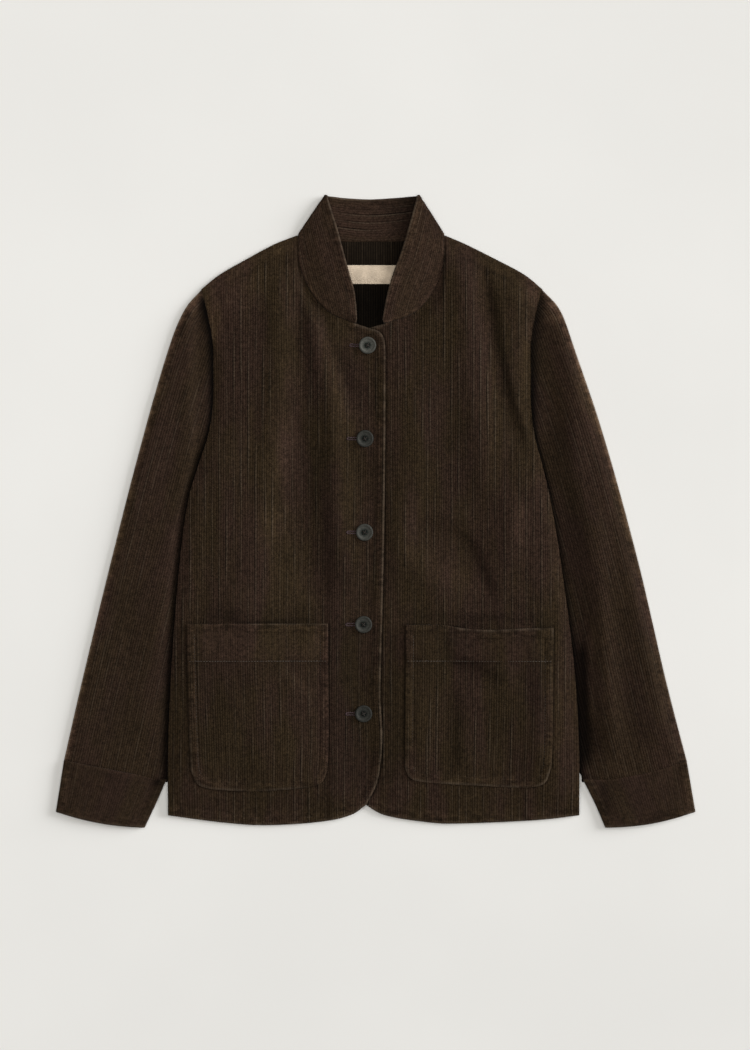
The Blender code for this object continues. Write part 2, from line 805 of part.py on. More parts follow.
def hole_cutter():
    """Four pins that stand through a button, as one hidden object."""
    shape = bmesh.new()
    for across in (-1, 1):
        for up in (-1, 1):
            made = bmesh.ops.create_cone(
                shape,
                cap_ends=True,
                segments=6,
                radius1=BUTTON_HOLE_RADIUS * METRE,
                radius2=BUTTON_HOLE_RADIUS * METRE,
                depth=4 * BUTTON_HEIGHT * METRE,
            )
            shift = BUTTON_HOLE_SPACING / 2 * METRE
            bmesh.ops.translate(shape, verts=made["verts"], vec=(across * shift, up * shift, 0.0))
    mesh = bpy.data.meshes.new("button_holes")
    shape.to_mesh(mesh)
    shape.free()
    cutter = bpy.data.objects.new("button_holes", mesh)
    bpy.context.scene.collection.objects.link(cutter)
    cutter.hide_render = True
    cutter.display_type = "WIRE"
    return cutter


def button_seat(place):
    """The height at which a button clears the cloth under all of it."""
    turns = np.linspace(0.0, 2 * math.pi, 12, endpoint=False)
    tops = [front_top(place.x, place.y)]
    for turn in turns:
        x = place.x + BUTTON_RADIUS * math.cos(turn)
        y = place.y + BUTTON_RADIUS * math.sin(turn)
        tops.append(right_front_under(x, y) + CLOTH)
    return max(tops) + SEAM_GAP


def add_buttons(finish):
    cutter = hole_cutter()
    for number, place in enumerate(BUTTON_PLACES, start=1):
        button = turned_button(f"button_{number}", finish)
        button.location = (place.x * METRE, place.y * METRE, button_seat(place) * METRE)
        holes = cutter.copy()
        holes.name = f"button_holes_{number}"
        holes.location = button.location
        bpy.context.scene.collection.objects.link(holes)
        cut = button.modifiers.new("thread holes", "BOOLEAN")
        cut.operation = "DIFFERENCE"
        cut.object = holes
    bpy.data.objects.remove(cutter)


def main():
    for old in list(bpy.data.objects):
        bpy.data.objects.remove(old)
    corduroy = material("corduroy", CORDUROY_COLOUR, 0.92)
    plastic = material("button_plastic", BUTTON_COLOUR, 0.38)
    label = material("label_cloth", LABEL_COLOUR, 0.8)
    add_back(corduroy)
    add_front("right", RIGHT_HEM, RIGHT_OPENING, RIGHT_LAP_NECK, right_front_under, corduroy)
    add_front("left", LEFT_HEM, LEFT_OPENING, LEFT_LAP_NECK, left_front_under, corduroy)
    for side in ("right", "left"):
        add_sleeve(side, corduroy)
        add_cuff(side, corduroy)
    add_collar(corduroy)
    add_pocket("right", RIGHT_POCKET, RIGHT_POCKET_FOOT, corduroy)
    add_pocket("left", LEFT_POCKET, LEFT_POCKET_FOOT, corduroy)
    add_label(label)
    add_buttons(plastic)


main()
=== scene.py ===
"""Corduroy jacket, laid flat on its back with its five buttons fastened.

Sizes are in millimetres and become metres when a mesh is made. X runs from the wearer's right
sleeve to the left one, Y from the hem to the collar, and Z up from the surface that the jacket
lies on. "right" and "left" are the wearer's, so the right side has negative X.
"""

import math
from collections import namedtuple

import bmesh
import bpy
import numpy as np
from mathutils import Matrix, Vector


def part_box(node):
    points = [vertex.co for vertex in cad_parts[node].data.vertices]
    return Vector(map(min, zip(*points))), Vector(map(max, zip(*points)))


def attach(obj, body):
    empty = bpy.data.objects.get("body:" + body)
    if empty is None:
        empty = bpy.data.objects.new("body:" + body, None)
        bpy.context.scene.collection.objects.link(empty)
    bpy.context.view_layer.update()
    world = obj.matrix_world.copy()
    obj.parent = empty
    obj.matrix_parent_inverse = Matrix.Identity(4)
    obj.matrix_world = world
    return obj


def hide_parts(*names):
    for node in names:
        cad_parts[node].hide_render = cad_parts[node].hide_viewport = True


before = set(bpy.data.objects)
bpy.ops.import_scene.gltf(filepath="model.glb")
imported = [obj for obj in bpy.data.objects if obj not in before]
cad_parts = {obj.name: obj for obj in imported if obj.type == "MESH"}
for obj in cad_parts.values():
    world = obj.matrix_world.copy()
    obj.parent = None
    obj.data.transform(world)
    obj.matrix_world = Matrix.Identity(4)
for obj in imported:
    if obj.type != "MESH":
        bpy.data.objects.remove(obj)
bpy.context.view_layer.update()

bl_info = {
    "name": "Corduroy jacket",
    "version": (1, 0, 0),
    "blender": (4, 5, 0),
    "location": "View3D > Sidebar > Jacket",
    "description": "Makes a corduroy jacket with a stand collar and two patch pockets, laid flat",
    "category": "Object",
}

METRE = 0.001
BODY = "root"

SIDES = ("right", "left")
FAR_OFF = 99.0  # a distance past which an edge or a seam has no effect

# ---- The cut: the panels' outlines, as seen from above ------------------------------------------

Row = namedtuple("Row", "y right left")
Point = namedtuple("Point", "x y")


def table(kind, *rows):
    """Rows of one kind, with its named columns."""
    return tuple(kind(*row) for row in rows)


SIDE_SEAM = table(
    Row, (-338.8, -232.4, 228), (-254.8, -231.3, 227.1), (-165.2, -227.4, 221.2),
    (-53.2, -218.4, 206.6), (12.9, -209.3, 195.4), (56.6, -196.6, 185.4),
)
ARMHOLE = table(
    Row, (56.6, -196.6, 185.4), (84.6, -187.6, 178.1), (114.8, -182.8, 174.7),
    (160.7, -181.6, 174.2), (199.9, -183.6, 175.3), (249.2, -195.4, 187),
)
SHOULDER = table(
    Row, (249.2, -195.4, 187), (266, -174.2, 166.3), (282.8, -145, 135), (299.6, -113.7, 101.4),
    (309.5, -88.5, 78.5),
)
NECKLINE = table(
    Row, (309.5, -88.5, 78.5), (285, -87, 77.2), (262, -80, 72), (241, -68.4, 60.5),
    (222.4, -49.8, 42), (210.8, -21.8, 9.5),
)
SLEEVE_OUTER = table(
    Row, (249.2, -195.4, 187), (226, -214.5, 207), (182, -232.4, 223.4), (81.2, -261.5, 257),
    (-53.8, -296.2, 294), (-188.2, -328.7, 325.4), (-277.2, -348.9, 348.3),
)
SLEEVE_INNER = table(
    Row, (56.6, -196.6, 185.4), (43, -196.8, 185.2), (17, -196, 184.4), (-30.8, -185, 178.3),
    (-120.4, -167.3, 162.3), (-223.4, -187.6, 183.1), (-262, -211, 208.5), (-280, -222.2, 221.6),
    (-290, -228.3, 228.3), (-299, -233.8, 232),
)
CUFF_OUTER = table(Row, (-277.2, -348.9, 348.3), (-335, -357.9, 358.1))
CUFF_INNER = table(Row, (-299, -233.8, 232), (-325.4, -245.2, 245), (-352.9, -258.2, 257))
CUFF_SEAM_SAG = Row(0.0, 0.5, 6.0)
CUFF_EDGE_SAG = Row(0.0, 3.8, 4.4)
COLLAR_EDGE = table(
    Row, (213.6, -21.3, 8.3), (243.6, -24.1, 14), (266, -30.2, 20.6), (288, -36.2, 28.8),
    (318.1, -44.2, 37.9), (350.6, -54.3, 46.8),
)
BACK_HEM = table(
    Point, (-232.4, -338.8), (-150, -346), (-60, -338), (0, -323), (60, -338), (150, -344),
    (228, -338.8),
)
BACK_NECK = table(
    Point, (-88.5, 309.5), (-73.4, 305.8), (-39.8, 303.5), (-5, 303.2), (29.7, 303.7),
    (63.3, 306.3), (78.5, 309.5),
)
COLLAR_BACK_EDGE = table(
    Point, (-54.3, 352.8), (-44, 351.6), (-34.2, 350.4), (-6.2, 348.9), (23, 350.6), (36, 351.8),
    (46.8, 352.8),
)
RIGHT_HEM = table(
    Point, (-232.4, -338.8), (-174.2, -346.6), (-124.9, -350), (-65.5, -346.6), (-28.6, -338.8),
    (-10, -326.8),
)
RIGHT_OPENING = table(
    Point, (-10, -326.8), (2.8, -298.5), (7.8, -254.8), (5.6, -198.8), (8.1, -98), (10.6, 36.4),
    (11.2, 170),
)
RIGHT_LAP_NECK = table(
    Point, (-21.8, 210.8), (-14, 208.2), (-6.2, 205.6), (0, 203.9), (4.8, 201.4), (8.6, 196.4),
    (10.6, 188.5), (11.2, 170),
)
LEFT_HEM = table(
    Point, (-14, -325), (10.6, -338.8), (57.7, -346.6), (94.6, -348.1), (178.6, -344.4),
    (228, -338.8),
)
LEFT_OPENING = table(Point, (-32, -254.8), (-28, -298.5), (-14, -325))
LEFT_LAP_NECK = table(Point, (-32.5, 204), (-8, 206.4), (9.5, 210.8))

PocketRow = namedtuple("PocketRow", "y outer inner")

RIGHT_POCKET = table(
    PocketRow, (-124.4, -211, -52.8), (-165, -210.4, -52.6), (-253, -207.8, -52.2),
    (-288, -206, -53.6),
)
RIGHT_POCKET_FOOT = table(
    Point, (-206, -288), (-196.5, -304.5), (-173, -309.9), (-130, -311.4), (-78.5, -307.5),
    (-60, -301.5), (-53.6, -288),
)
LEFT_POCKET = table(
    PocketRow, (-127.4, 198.8, 33.4), (-164, 198.4, 33.2), (-253, 197.6, 32.4),
    (-284, 196.2, 32.4),
)
LEFT_POCKET_FOOT = table(
    Point, (196.2, -284), (188, -302.5), (165, -307.2), (110, -305), (57, -301.5), (39, -297),
    (32.4, -284),
)
POCKET_TOPS = {
    "right": table(Point, (-211, -124.4), (-52.8, -124.4)),
    "left": table(
        Point, (32, -126), (61, -125.4), (80, -126.6), (100, -129.8), (128, -131.2),
        (151, -130.2), (173, -129.2), (199, -128.8),
    ),
}
POCKET_BAND_Y = -165.5
POCKET_BAND_STEP = 1.6
POCKET_BAND_RISE = 0.8
POCKET_SEAT = 0.25

# Where the panels' grids of points begin and end
PANEL_RIGHT, PANEL_LEFT = -232.1, 227.7
LAP_OVER, LAP_UNDER = 11.2, -32.0
OPENING_HEM, OPENING_TOP = -254.8, 170.0

LABEL_LEFT, LABEL_RIGHT = -39.8, 28.6
LABEL_BOTTOM, LABEL_TOP = 255.4, 276.6

BUTTON_PLACES = table(
    Point, (-9, 186.5), (-11.8, 82.3), (-12.3, -22.4), (-13.4, -125.4), (-13.4, -225.1),
)
# Painted light: how much lighter or darker each button's copy of the one material is
BUTTON_PAINTED_LIGHT = (1.0, 0.52, 0.76, 0.58, 0.42)

# Thicknesses, gaps and heights
CLOTH = 1.8
FACE_DROP = 0.5  # from the cloth's top down to the foot of its ribs
PANEL_GAP = 0.4
LAP_GAP = 0.6
SLEEVE_FOLD_HEIGHT = 4.1
SleeveShape = namedtuple("SleeveShape", "height rise underarm")
SLEEVE_SHAPES = {"right": SleeveShape(8.6, 13.0, 16.0), "left": SleeveShape(12.2, 17.0, 42.0)}
CUFF_FOLD_HEIGHT = 4.7
CUFF_HEIGHT = 7.4
SLEEVE_WALL = 1.4
CUFF_WALL = 1.5
ARMHOLE_REACH = 0.7  # how far a sleeve's top goes in under the body
FRONT_PUFF = 4.6
FRONT_RISE = 36.0
BUTTON_STRIP_FLATNESS = 0.82
BUTTON_STRIP_WIDTH = 22.0
SLEEVE_LIFT = 4.7
LIFT_MARGIN = 20.0
LIFT_FADE = 60.0
LIFT_TOP_END = 114.0
LIFT_TOP_FADE = 56.0
LIFT_HEM_END = -352.0
LIFT_HEM_FADE = 44.0
LAP_EDGE = -44.0
LAP_STEP = 16.0
COLLAR_CLOTH = 3.0
COLLAR_TIP_CLOTH = 2.0
COLLAR_FOLD_RADIUS = 2.3
COLLAR_RISE = 4.6

# The height at which the armholes come furthest in, and half the gap left there between the rows
WAIST = 152.0
WAIST_GAP = 3.0

# Soft ridges (height above zero) and troughs, along a line and with a width on each side of it
Crease = namedtuple("Crease", "points left right height")


def soft_lines(*rows):
    """Creases from rows of the width on the left and on the right, the height, and the points."""
    return tuple(Crease(row[3:], *row[:3]) for row in rows)


FRONT_CREASES = soft_lines(
    (10.5, 12, 2.9, (-70, 224.3), (-68.9, 198.6), (-61, 161.6), (-54.3, 125.8), (-48.7, 92.2),
        (-44.2, 60.8)),
    (9, 13, -2.6, (-52.1, 204.2), (-38.6, 161.6), (-29.7, 134.7), (-20.7, 112.3), (-14, 96.7)),
    (8, 9, -2.2, (-36.4, 83.2), (-26.3, 60.8), (-15.1, 45.1), (-2.8, 29.5)),
    (15, 12, -1.9, (-86.8, 254.6), (-86.8, 193), (-85.7, 125.8), (-83.4, 81)),
    (19, 18, -3.6, (-84.6, 103.4), (-83.4, 69.8), (-83.4, 36.2), (-82.3, -8.6), (-74.5, -53.4),
        (-62.2, -98.2)),
    (15, 19, 2.4, (-105.8, 273.6), (-108.1, 204.2), (-111.4, 148.2), (-118.2, 81), (-126, 25),
        (-132.7, -25.4), (-129.4, -70.2)),
    (19, 15, 2.6, (-43.1, 56.3), (-37.5, 2.6), (-25.2, -53.4), (-6.2, -102.7)),
    (16, 22, 1.6, (-156.2, -81.4), (-151.8, -122.9)),
    (5, 6, 1.1, (-64.4, 234.4), (-48.7, 219.9), (-26.3, 203.1)),
    (6, 7, -1.3, (-56.6, 213.1), (-39.8, 197.5), (-28.6, 181.8)),
    (16, 14, -1.4, (-180.9, 47.4), (-189.8, -53.4), (-196.6, -120.6)),
    (17, 9, -3.9, (118.2, 284.8), (123.8, 243.4), (130.5, 204.2), (137.2, 165), (143.9, 131.4),
        (154, 97.8), (166.3, 69.8)),
    (17, 15, 2.7, (98, 280.3), (101.4, 226.6), (105.8, 170.6), (111.4, 114.6), (117, 69.8),
        (122.6, 16)),
    (6, 6, 1.8, (149.5, 161.6), (156.2, 128), (166.3, 97.8), (178.6, 73.1)),
    (9, 8, 1.4, (152.9, 273.6), (156.2, 237.8), (158.5, 193)),
    (34, 9, -4, (33, -13.1), (63.3, -18.7), (86.8, -26.5), (102.5, -38.9), (112.6, -56.8),
        (122.6, -81.4), (129.4, -101.6)),
    (17, 28, 2.6, (18.5, 8.2), (29.7, -36.6), (54.3, -75.8), (90.2, -104.9)),
    (13, 13, 2, (148.4, 22.7), (150.6, -19.8), (148.4, -60.1)),
    (18, 16, 1.4, (43.1, 137), (39.8, 69.8), (36.4, 2.6)),
    (5, 6, -1.2, (30.8, 206.4), (44.2, 217.6), (58.8, 231.1)),
    (12, 14, 1.2, (175.3, 47.4), (184.2, -31), (189.8, -98.2)),
)
SLEEVE_CREASES = soft_lines(
    (22, 26, -1, (-273.8, -53.4), (-285, -165.4), (-295.1, -255)),
    (14, 16, -0.8, (-215.6, 170.6), (-227.9, 81), (-241.4, 13.8)),
    (14, 12, 1, (-238, -87), (-252.6, -187.8), (-263.8, -260.6)),
    (20, 13, 3, (242.5, 8.2), (251.4, -98.2), (258.2, -199), (266, -275.2)),
    (18, 22, 1.7, (279.4, -53.4), (296.2, -165.4), (307.4, -255)),
    (16, 15, 1.6, (210, 139.2), (229, 47.4)),
)
POCKET_CREASES = soft_lines(
    (8, 13, 1.7, (82.3, -129.6), (90.2, -152), (121.5, -169.9), (152.9, -187.8)),
    (10, 22, 2, (99.1, -185.6), (99.1, -294.2)),
    (10, 12, 1.8, (182, -148.6), (184.2, -288.6)),
    (13, 6, 1.7, (-111.4, -167.7), (-92.4, -192.3), (-71.1, -214.7)),
    (14, 36, 1.8, (-131.6, -169.9), (-131.6, -295.3)),
    (16, 18, -0.9, (-180.9, -165.4), (-183.1, -295.3)),
    (12, 20, 1.2, (49.8, -199), (47.6, -288.6)),
)

# Painted light and shade on the pile, as a share of its own tone: lighter and darker bands where folds face
# towards or away from the light, painted shadows beside other pieces, and painted highlights on edges
FRONT_PAINTED_LIGHT = soft_lines(
    (9, 9, 0.1, (-95.8, 265.8), (-96.9, 193), (-98, 125.8)),
    (15, 15, 0.28, (-99.1, 109), (-102.5, 69.8), (-107, 30.6)),
    (14, 13, 0.34, (-112.6, 8.2), (-117, -36.6)),
    (16, 16, 0.14, (-111.4, -53.4), (-100.2, -98.2)),
    (6, 7, 0.3, (-61, 204.2), (-49.8, 161.6), (-39.8, 123.5), (-31.9, 89.9)),
    (8, 7, -0.16, (-79, 237.8), (-72.2, 170.6), (-66.6, 103.4)),
    (14, 15, -0.26, (-70, 81), (-63.3, 36.2), (-57.7, -8.6), (-47.6, -53.4), (-28.6, -93.7)),
    (8, 9, -0.22, (-42, 190.7), (-28.6, 150.4), (-15.1, 119.1)),
    (6, 7, -0.2, (-24.1, 54.1), (-10.6, 36.2)),
    (24, 24, -0.26, (-33, -111.7), (-28.6, -210.2), (-26.3, -311)),
    (9, 6, -0.36, (-194.3, -113.9), (-171.9, -112.8), (-145, -113.9)),
    (7, 5, -0.16, (-145, -115), (-57.7, -115)),
    (8, 8, -0.14, (-122.6, 254.6), (-120.4, 187.4)),
    (6, 6, -0.34, (127.1, 254.6), (137.2, 198.6), (147.3, 150.4), (160.7, 105.6), (175.3, 74.3)),
    (9, 9, 0.16, (115.9, 265.8), (123.8, 193), (128.2, 125.8), (129.4, 81), (133.8, 27.2)),
    (16, 13, -0.16, (94.6, 125.8), (101.4, 69.8), (105.8, 19.4)),
    (13, 13, 0.22, (31.9, -36.6), (63.3, -60.1), (96.9, -78.1), (119.3, -98.2)),
    (5, 6, -0.24, (91.3, -22.1), (108.1, -34.4), (118.2, -55.7), (130.5, -89.3)),
    (8, 8, 0.36, (160.7, 13.8), (161.8, -37.7)),
    (5, 6, 0.26, (186.5, 63.1), (195.4, 13.8), (204.4, -53.4), (211.1, -120.6)),
    (3.4, 3.4, 0.34, (157.4, 131.4), (168.6, 97.8), (180.9, 72)),
    (5, 5, 0.34, (169.7, 217.6), (167.4, 170.6), (167.4, 125.8)),
    (6, 6, 0.12, (-177.5, 204.2), (-173, 125.8), (-183.1, 69.8)),
    (9, 9, -0.16, (18.5, 81), (17.4, -8.6), (17.4, -109.4)),
    (11, 9, -0.22, (19.6, -126.2), (19.6, -311)),
    (7, 5, -0.26, (33, -116.1), (117, -117.3), (197.7, -118.4)),
    (14, 10, -0.12, (139.4, -102.7), (189.8, -102.7)),
    (14, 14, 0.14, (38.6, 13.8), (47.6, -8.6)),
    (7, 7, 0.16, (206.6, -143), (206.6, -277.4)),
    (10, 9, -0.1, (-221.2, -143), (-219, -299.8)),
    (14, 14, -0.12, (-200, -322), (-40, -322)),
    (24, 24, 0.36, (-186, 226), (-152, 252), (-116, 272)),
    (7, 8, 0.95, (-187, 240), (-183, 218), (-178, 186)),
    (6, 6, 0.5, (-114, 291), (-96, 298)),
    (10, 10, 0.6, (164, 250), (176, 242), (183, 232)),
)
SLEEVE_PAINTED_LIGHT = soft_lines(
    (30, 30, -0.1, (-275, -75.8), (-288.4, -187.8), (-299.6, -266.2)),
    (10, 8, 0.08, (-219, -8.6), (-230.2, -98.2), (-239.1, -165.4)),
    (13, 14, -0.2, (202.2, 103.4), (220.1, -8.6), (233.5, -98.2), (240.2, -199), (245.8, -277.4)),
    (8.5, 8.5, -0.68, (230.2, -143), (233.5, -210.2), (235.8, -288.6)),
    (8, 8, 0.14, (254.8, -98.2), (260.4, -210.2)),
    (22, 20, -0.2, (282.8, -98.2), (291.8, -187.8), (298.5, -266.2)),
    (8, 8, 0.16, (210, 226.6), (229, 148.2), (249.2, 69.8)),
    (4, 4, 0.4, (240.5, -130), (240.5, -180), (243, -235)),
    (11, 13, 1.5, (188, 244), (196, 232), (205, 212)),
    (8, 9, 1, (-211, 224), (-198, 243)),
)
ARMHOLE_SHADE = {  # height, how far the shade reaches, how dark it is
    "right": ((-260.0, 9.0, 0.88), (-9.0, 4.9, 0.86), (126.0, 5.2, 0.96), (204.0, 8.4, 0.95)),
    "left": (
        (-260.0, 7.0, 0.9), (-9.0, 5.0, 0.82), (81.0, 4.6, 0.94), (126.0, 7.9, 0.93), (204.0, 11.0, 0.8)
    ),
}
CUFF_PAINTED_LIGHT = soft_lines(
    (4, 4, 0.4, (-347, -279), (-348, -326)),
    (6, 7, -0.5, (-238, -278), (-247, -310)),
    (8, 8, -0.36, (253, -300), (259, -340)),
    (5, 5, 0.5, (348, -294), (353, -334)),
)
COLLAR_PAINTED_LIGHT = (  # painted light and shade: station from the right tip, how much lighter or darker
    (0, 0.12), (60, 0.10), (74, 0.26), (93, 0.20), (104, -0.34), (114, -0.66), (122, 0.0),
    (134, 0.22), (185, 0.18),
)
POCKET_PAINTED_LIGHT = soft_lines(
    (40, 40, 0.15, (-89, -169.9), (-89, -302.1)),
    (14, 16, 0.2, (-68.9, -127.3), (-68.9, -160.9)),
    (4, 5, 0.16, (-102.5, -167.7), (-85.7, -188.9), (-67.8, -208)),
    (11, 11, -0.2, (81.2, -129.6), (85.7, -152)),
    (7, 7, -0.28, (79, -155.3), (96.9, -168.8), (119.3, -173.3), (143.9, -187.8)),
    (8, 8, -0.24, (91.3, -199), (91.3, -288.6)),
    (10, 10, -0.18, (178.6, -154.2), (180.9, -257.3)),
    (18, 18, 0.1, (55.4, -199), (55.4, -294.2)),
    (10, 12, 0.12, (110.3, -196.8), (130.5, -212.5)),
    (6, 6, 0.3, (191, -143), (192.1, -156.5)),
)


# ---- What a user sets --------------------------------------------------------------------------


class JacketSizes(bpy.types.PropertyGroup):
    wale_pitch: bpy.props.FloatProperty(
        name="Wale pitch", description="From one rib to the next, in millimetres", default=2.7, min=1.0
    )
    rib_height: bpy.props.FloatProperty(
        name="Rib height", description="How far the ribs stand up, in millimetres", default=0.45, min=0.0
    )
    fold_depth: bpy.props.FloatProperty(
        name="Fold depth", description="How deep the soft folds are", default=1.0, min=0.0, subtype="FACTOR"
    )
    stitch_length: bpy.props.FloatProperty(
        name="Stitch length", description="Of the top stitching, in millimetres", default=3.1, min=1.0
    )


class JacketColours(bpy.types.PropertyGroup):
    corduroy: bpy.props.FloatVectorProperty(
        name="Corduroy", description="The pile",
        subtype="COLOR", size=3, default=(0.0250, 0.0160, 0.0080),
    )
    tint: bpy.props.FloatVectorProperty(
        name="Tint", description="The warmer bands of the pile",
        subtype="COLOR", size=3, default=(0.0272, 0.0155, 0.0106),
    )
    streak: bpy.props.FloatVectorProperty(
        name="Streaks", description="The ribs that have rubbed lighter",
        subtype="COLOR", size=3, default=(0.058, 0.043, 0.029),
    )
    worn: bpy.props.FloatVectorProperty(
        name="Worn edges", description="The rubbed edges",
        subtype="COLOR", size=3, default=(0.085, 0.063, 0.044),
    )
    # Made very dark as painted shade for the inside of the neck; it is on the panels' undersides and inside
    # the sleeves and cuffs
    inside: bpy.props.FloatVectorProperty(
        name="Inside", description="The wrong side of the cloth",
        subtype="COLOR", size=3, default=(0.0078, 0.0055, 0.0036),
    )
    thread: bpy.props.FloatVectorProperty(
        name="Thread", description="The top stitching",
        subtype="COLOR", size=3, default=(0.034, 0.025, 0.018),
    )
    buttonhole: bpy.props.FloatVectorProperty(
        name="Buttonholes", description="Their thread",
        subtype="COLOR", size=3, default=(0.050, 0.026, 0.030),
    )
    button: bpy.props.FloatVectorProperty(
        name="Buttons", description="Their rims",
        subtype="COLOR", size=3, default=(0.066, 0.066, 0.058),
    )
    button_middle: bpy.props.FloatVectorProperty(
        name="Button middles", description="Their darker middles",
        subtype="COLOR", size=3, default=(0.0035, 0.0072, 0.0056),
    )
    label: bpy.props.FloatVectorProperty(
        name="Label", description="Plain woven cloth",
        subtype="COLOR", size=3, default=(0.60, 0.49, 0.37),
    )
    floor: bpy.props.FloatVectorProperty(
        name="Floor", description="Pale paper",
        subtype="COLOR", size=3, default=(0.80, 0.794, 0.775),
    )


# ---- Curves ------------------------------------------------------------------------------------


def soft_step(value):
    """0 below 0, 1 above 1, and a soft rise between."""
    t = np.clip(value, 0.0, 1.0)
    return t * t * (3.0 - 2.0 * t)


def smooth_line(points, steps=12):
    """Close points on a smooth curve through the given ones."""
    given = np.array([(p.x, p.y) if isinstance(p, Point) else p for p in points], float)
    ends = 2 * given[0] - given[1], 2 * given[-1] - given[-2]
    padded = np.vstack([ends[0], given, ends[1]])
    found = []
    for a, b, c, d in zip(padded, padded[1:], padded[2:], padded[3:]):
        for t in np.linspace(0.0, 1.0, steps, endpoint=False):
            slope = (c - a) * t
            bend = (2 * a - 5 * b + 4 * c - d) * t * t
            twist = (3 * b - a - 3 * c + d) * t**3
            found.append(b + 0.5 * (slope + bend + twist))
    return np.vstack([found, given[-1]])


def side_line(rows, side):
    """The smooth line of one side of a table."""
    return smooth_line([(getattr(row, side), row.y) for row in rows])


def chain(*lines):
    """Lines that meet end to end, as one."""
    return np.vstack([lines[0]] + [line[1:] for line in lines[1:]])


def run_of(line):
    """How far along a line each of its points is."""
    steps = np.linalg.norm(np.diff(line, axis=0), axis=1)
    return np.concatenate([[0.0], np.cumsum(steps)])


def along(line, shares):
    """Points at the given shares of a line's length."""
    run = run_of(line)
    at = np.asarray(shares) * run[-1]
    return np.column_stack([np.interp(at, run, line[:, k]) for k in range(line.shape[1])])


def rising(line):
    """A line as a graph: X never falls from one point to the next."""
    line = line.copy()
    line[:, 0] = np.maximum.accumulate(line[:, 0])
    return line


def height_on(line, x):
    """The height of a line at places x."""
    line = rising(line)
    return np.interp(x, line[:, 0], line[:, 1])


def distance_to(x, y, lines, far=34.0):
    """How far places are from the nearest of some lines, up to a limit."""
    x, y = np.broadcast_arrays(x, y)
    px, py = x.ravel(), y.ravel()
    best = np.full(len(px), far * far)
    for line in lines:
        for first in range(0, len(line) - 1, 6):
            part = line[first : first + 7]
            low, high = part.min(axis=0) - far, part.max(axis=0) + far
            near = np.flatnonzero((px > low[0]) & (px < high[0]) & (py > low[1]) & (py < high[1]))
            if not len(near):
                continue
            qx, qy, found = px[near], py[near], best[near]
            for (ax, ay), (bx, by) in zip(part, part[1:]):
                dx, dy = bx - ax, by - ay
                t = np.clip(((qx - ax) * dx + (qy - ay) * dy) / (dx * dx + dy * dy + 1e-12), 0.0, 1.0)
                np.minimum(found, (qx - ax - t * dx) ** 2 + (qy - ay - t * dy) ** 2, out=found)
            best[near] = found
    return np.sqrt(best).reshape(x.shape)


def longer(line, by):
    """A line drawn out straight at both ends."""
    start, end = line[0] - line[1], line[-1] - line[-2]
    first = line[0] + start / np.linalg.norm(start) * by
    return np.vstack([first, line, line[-1] + end / np.linalg.norm(end) * by])


def sagging_line(start, end, sag, steps=40):
    """A line between two points that sags towards the hem in its middle."""
    shares = np.linspace(0.0, 1.0, steps + 1)
    line = np.outer(1.0 - shares, start) + np.outer(shares, end)
    line[:, 1] -= sag * np.sin(math.pi * shares)
    return line


LINES = {}
for _side in SIDES:
    LINES["side", _side] = side_line(SIDE_SEAM, _side)
    LINES["armhole", _side] = side_line(ARMHOLE, _side)
    LINES["body", _side] = chain(LINES["side", _side], LINES["armhole", _side])
    LINES["shoulder", _side] = side_line(SHOULDER, _side)
    LINES["neck", _side] = side_line(NECKLINE, _side)
    LINES["outer", _side] = side_line(SLEEVE_OUTER, _side)
    LINES["inner", _side] = side_line(SLEEVE_INNER, _side)
    LINES["top", _side] = np.abs(chain(LINES["neck", _side][::-1], LINES["shoulder", _side][::-1]))


# ---- Heights of the cloth ----------------------------------------------------------------------


def out_to(name, x, y):
    """How far an edge is from the middle of the jacket, at heights y on the side of x."""
    found = []
    for side in SIDES:
        line = LINES[name, side]
        if line[0, 1] > line[-1, 1]:
            line = line[::-1]
        found.append(np.interp(y, line[:, 1], np.abs(line[:, 0])))
    return np.where(x < 0, found[0], found[1])


def up_to_top(x):
    """How far up the neckline or the shoulder is."""
    found = [np.interp(np.abs(x), LINES["top", s][:, 0], LINES["top", s][:, 1]) for s in SIDES]
    return np.where(x < 0, found[0], found[1])


def strokes(table, x, y):
    """The sum of soft strokes: each is strongest on its line and fades out on both sides of it."""
    x, y = np.broadcast_arrays(np.asarray(x, float), np.asarray(y, float))
    px, py = x.ravel(), y.ravel()
    total = np.zeros(len(px))
    for stroke in table:
        line = smooth_line(stroke.points, 6)
        reach = 2.4 * max(stroke.left, stroke.right)
        low, high = line.min(axis=0) - reach, line.max(axis=0) + reach
        near = np.flatnonzero((px > low[0]) & (px < high[0]) & (py > low[1]) & (py < high[1]))
        if not len(near):
            continue
        qx, qy, run = px[near], py[near], run_of(line)
        best, side, at = np.full(len(near), 1e9), np.zeros(len(near)), np.zeros(len(near))
        for k, ((ax, ay), (bx, by)) in enumerate(zip(line, line[1:])):
            dx, dy = bx - ax, by - ay
            t = np.clip(((qx - ax) * dx + (qy - ay) * dy) / (dx * dx + dy * dy), 0.0, 1.0)
            ox, oy = qx - ax - t * dx, qy - ay - t * dy
            away = ox * ox + oy * oy
            closer = away < best
            best[closer] = away[closer]
            side[closer] = (oy * dx - ox * dy)[closer]
            at[closer] = (run[k] + t * (run[k + 1] - run[k]))[closer]
        fade = min(0.4 * run[-1], 26.0)
        ends = soft_step((at + 0.3 * fade) / fade) * soft_step((run[-1] - at + 0.3 * fade) / fade)
        width = np.where(side < 0, stroke.left, stroke.right)
        total[near] += stroke.height * ends * np.exp(-best / width**2)
    return total.reshape(x.shape)


def creased(creases, x, y):
    """The height that soft ridges and troughs add."""
    return strokes(creases, x, y) * settings().fold_depth


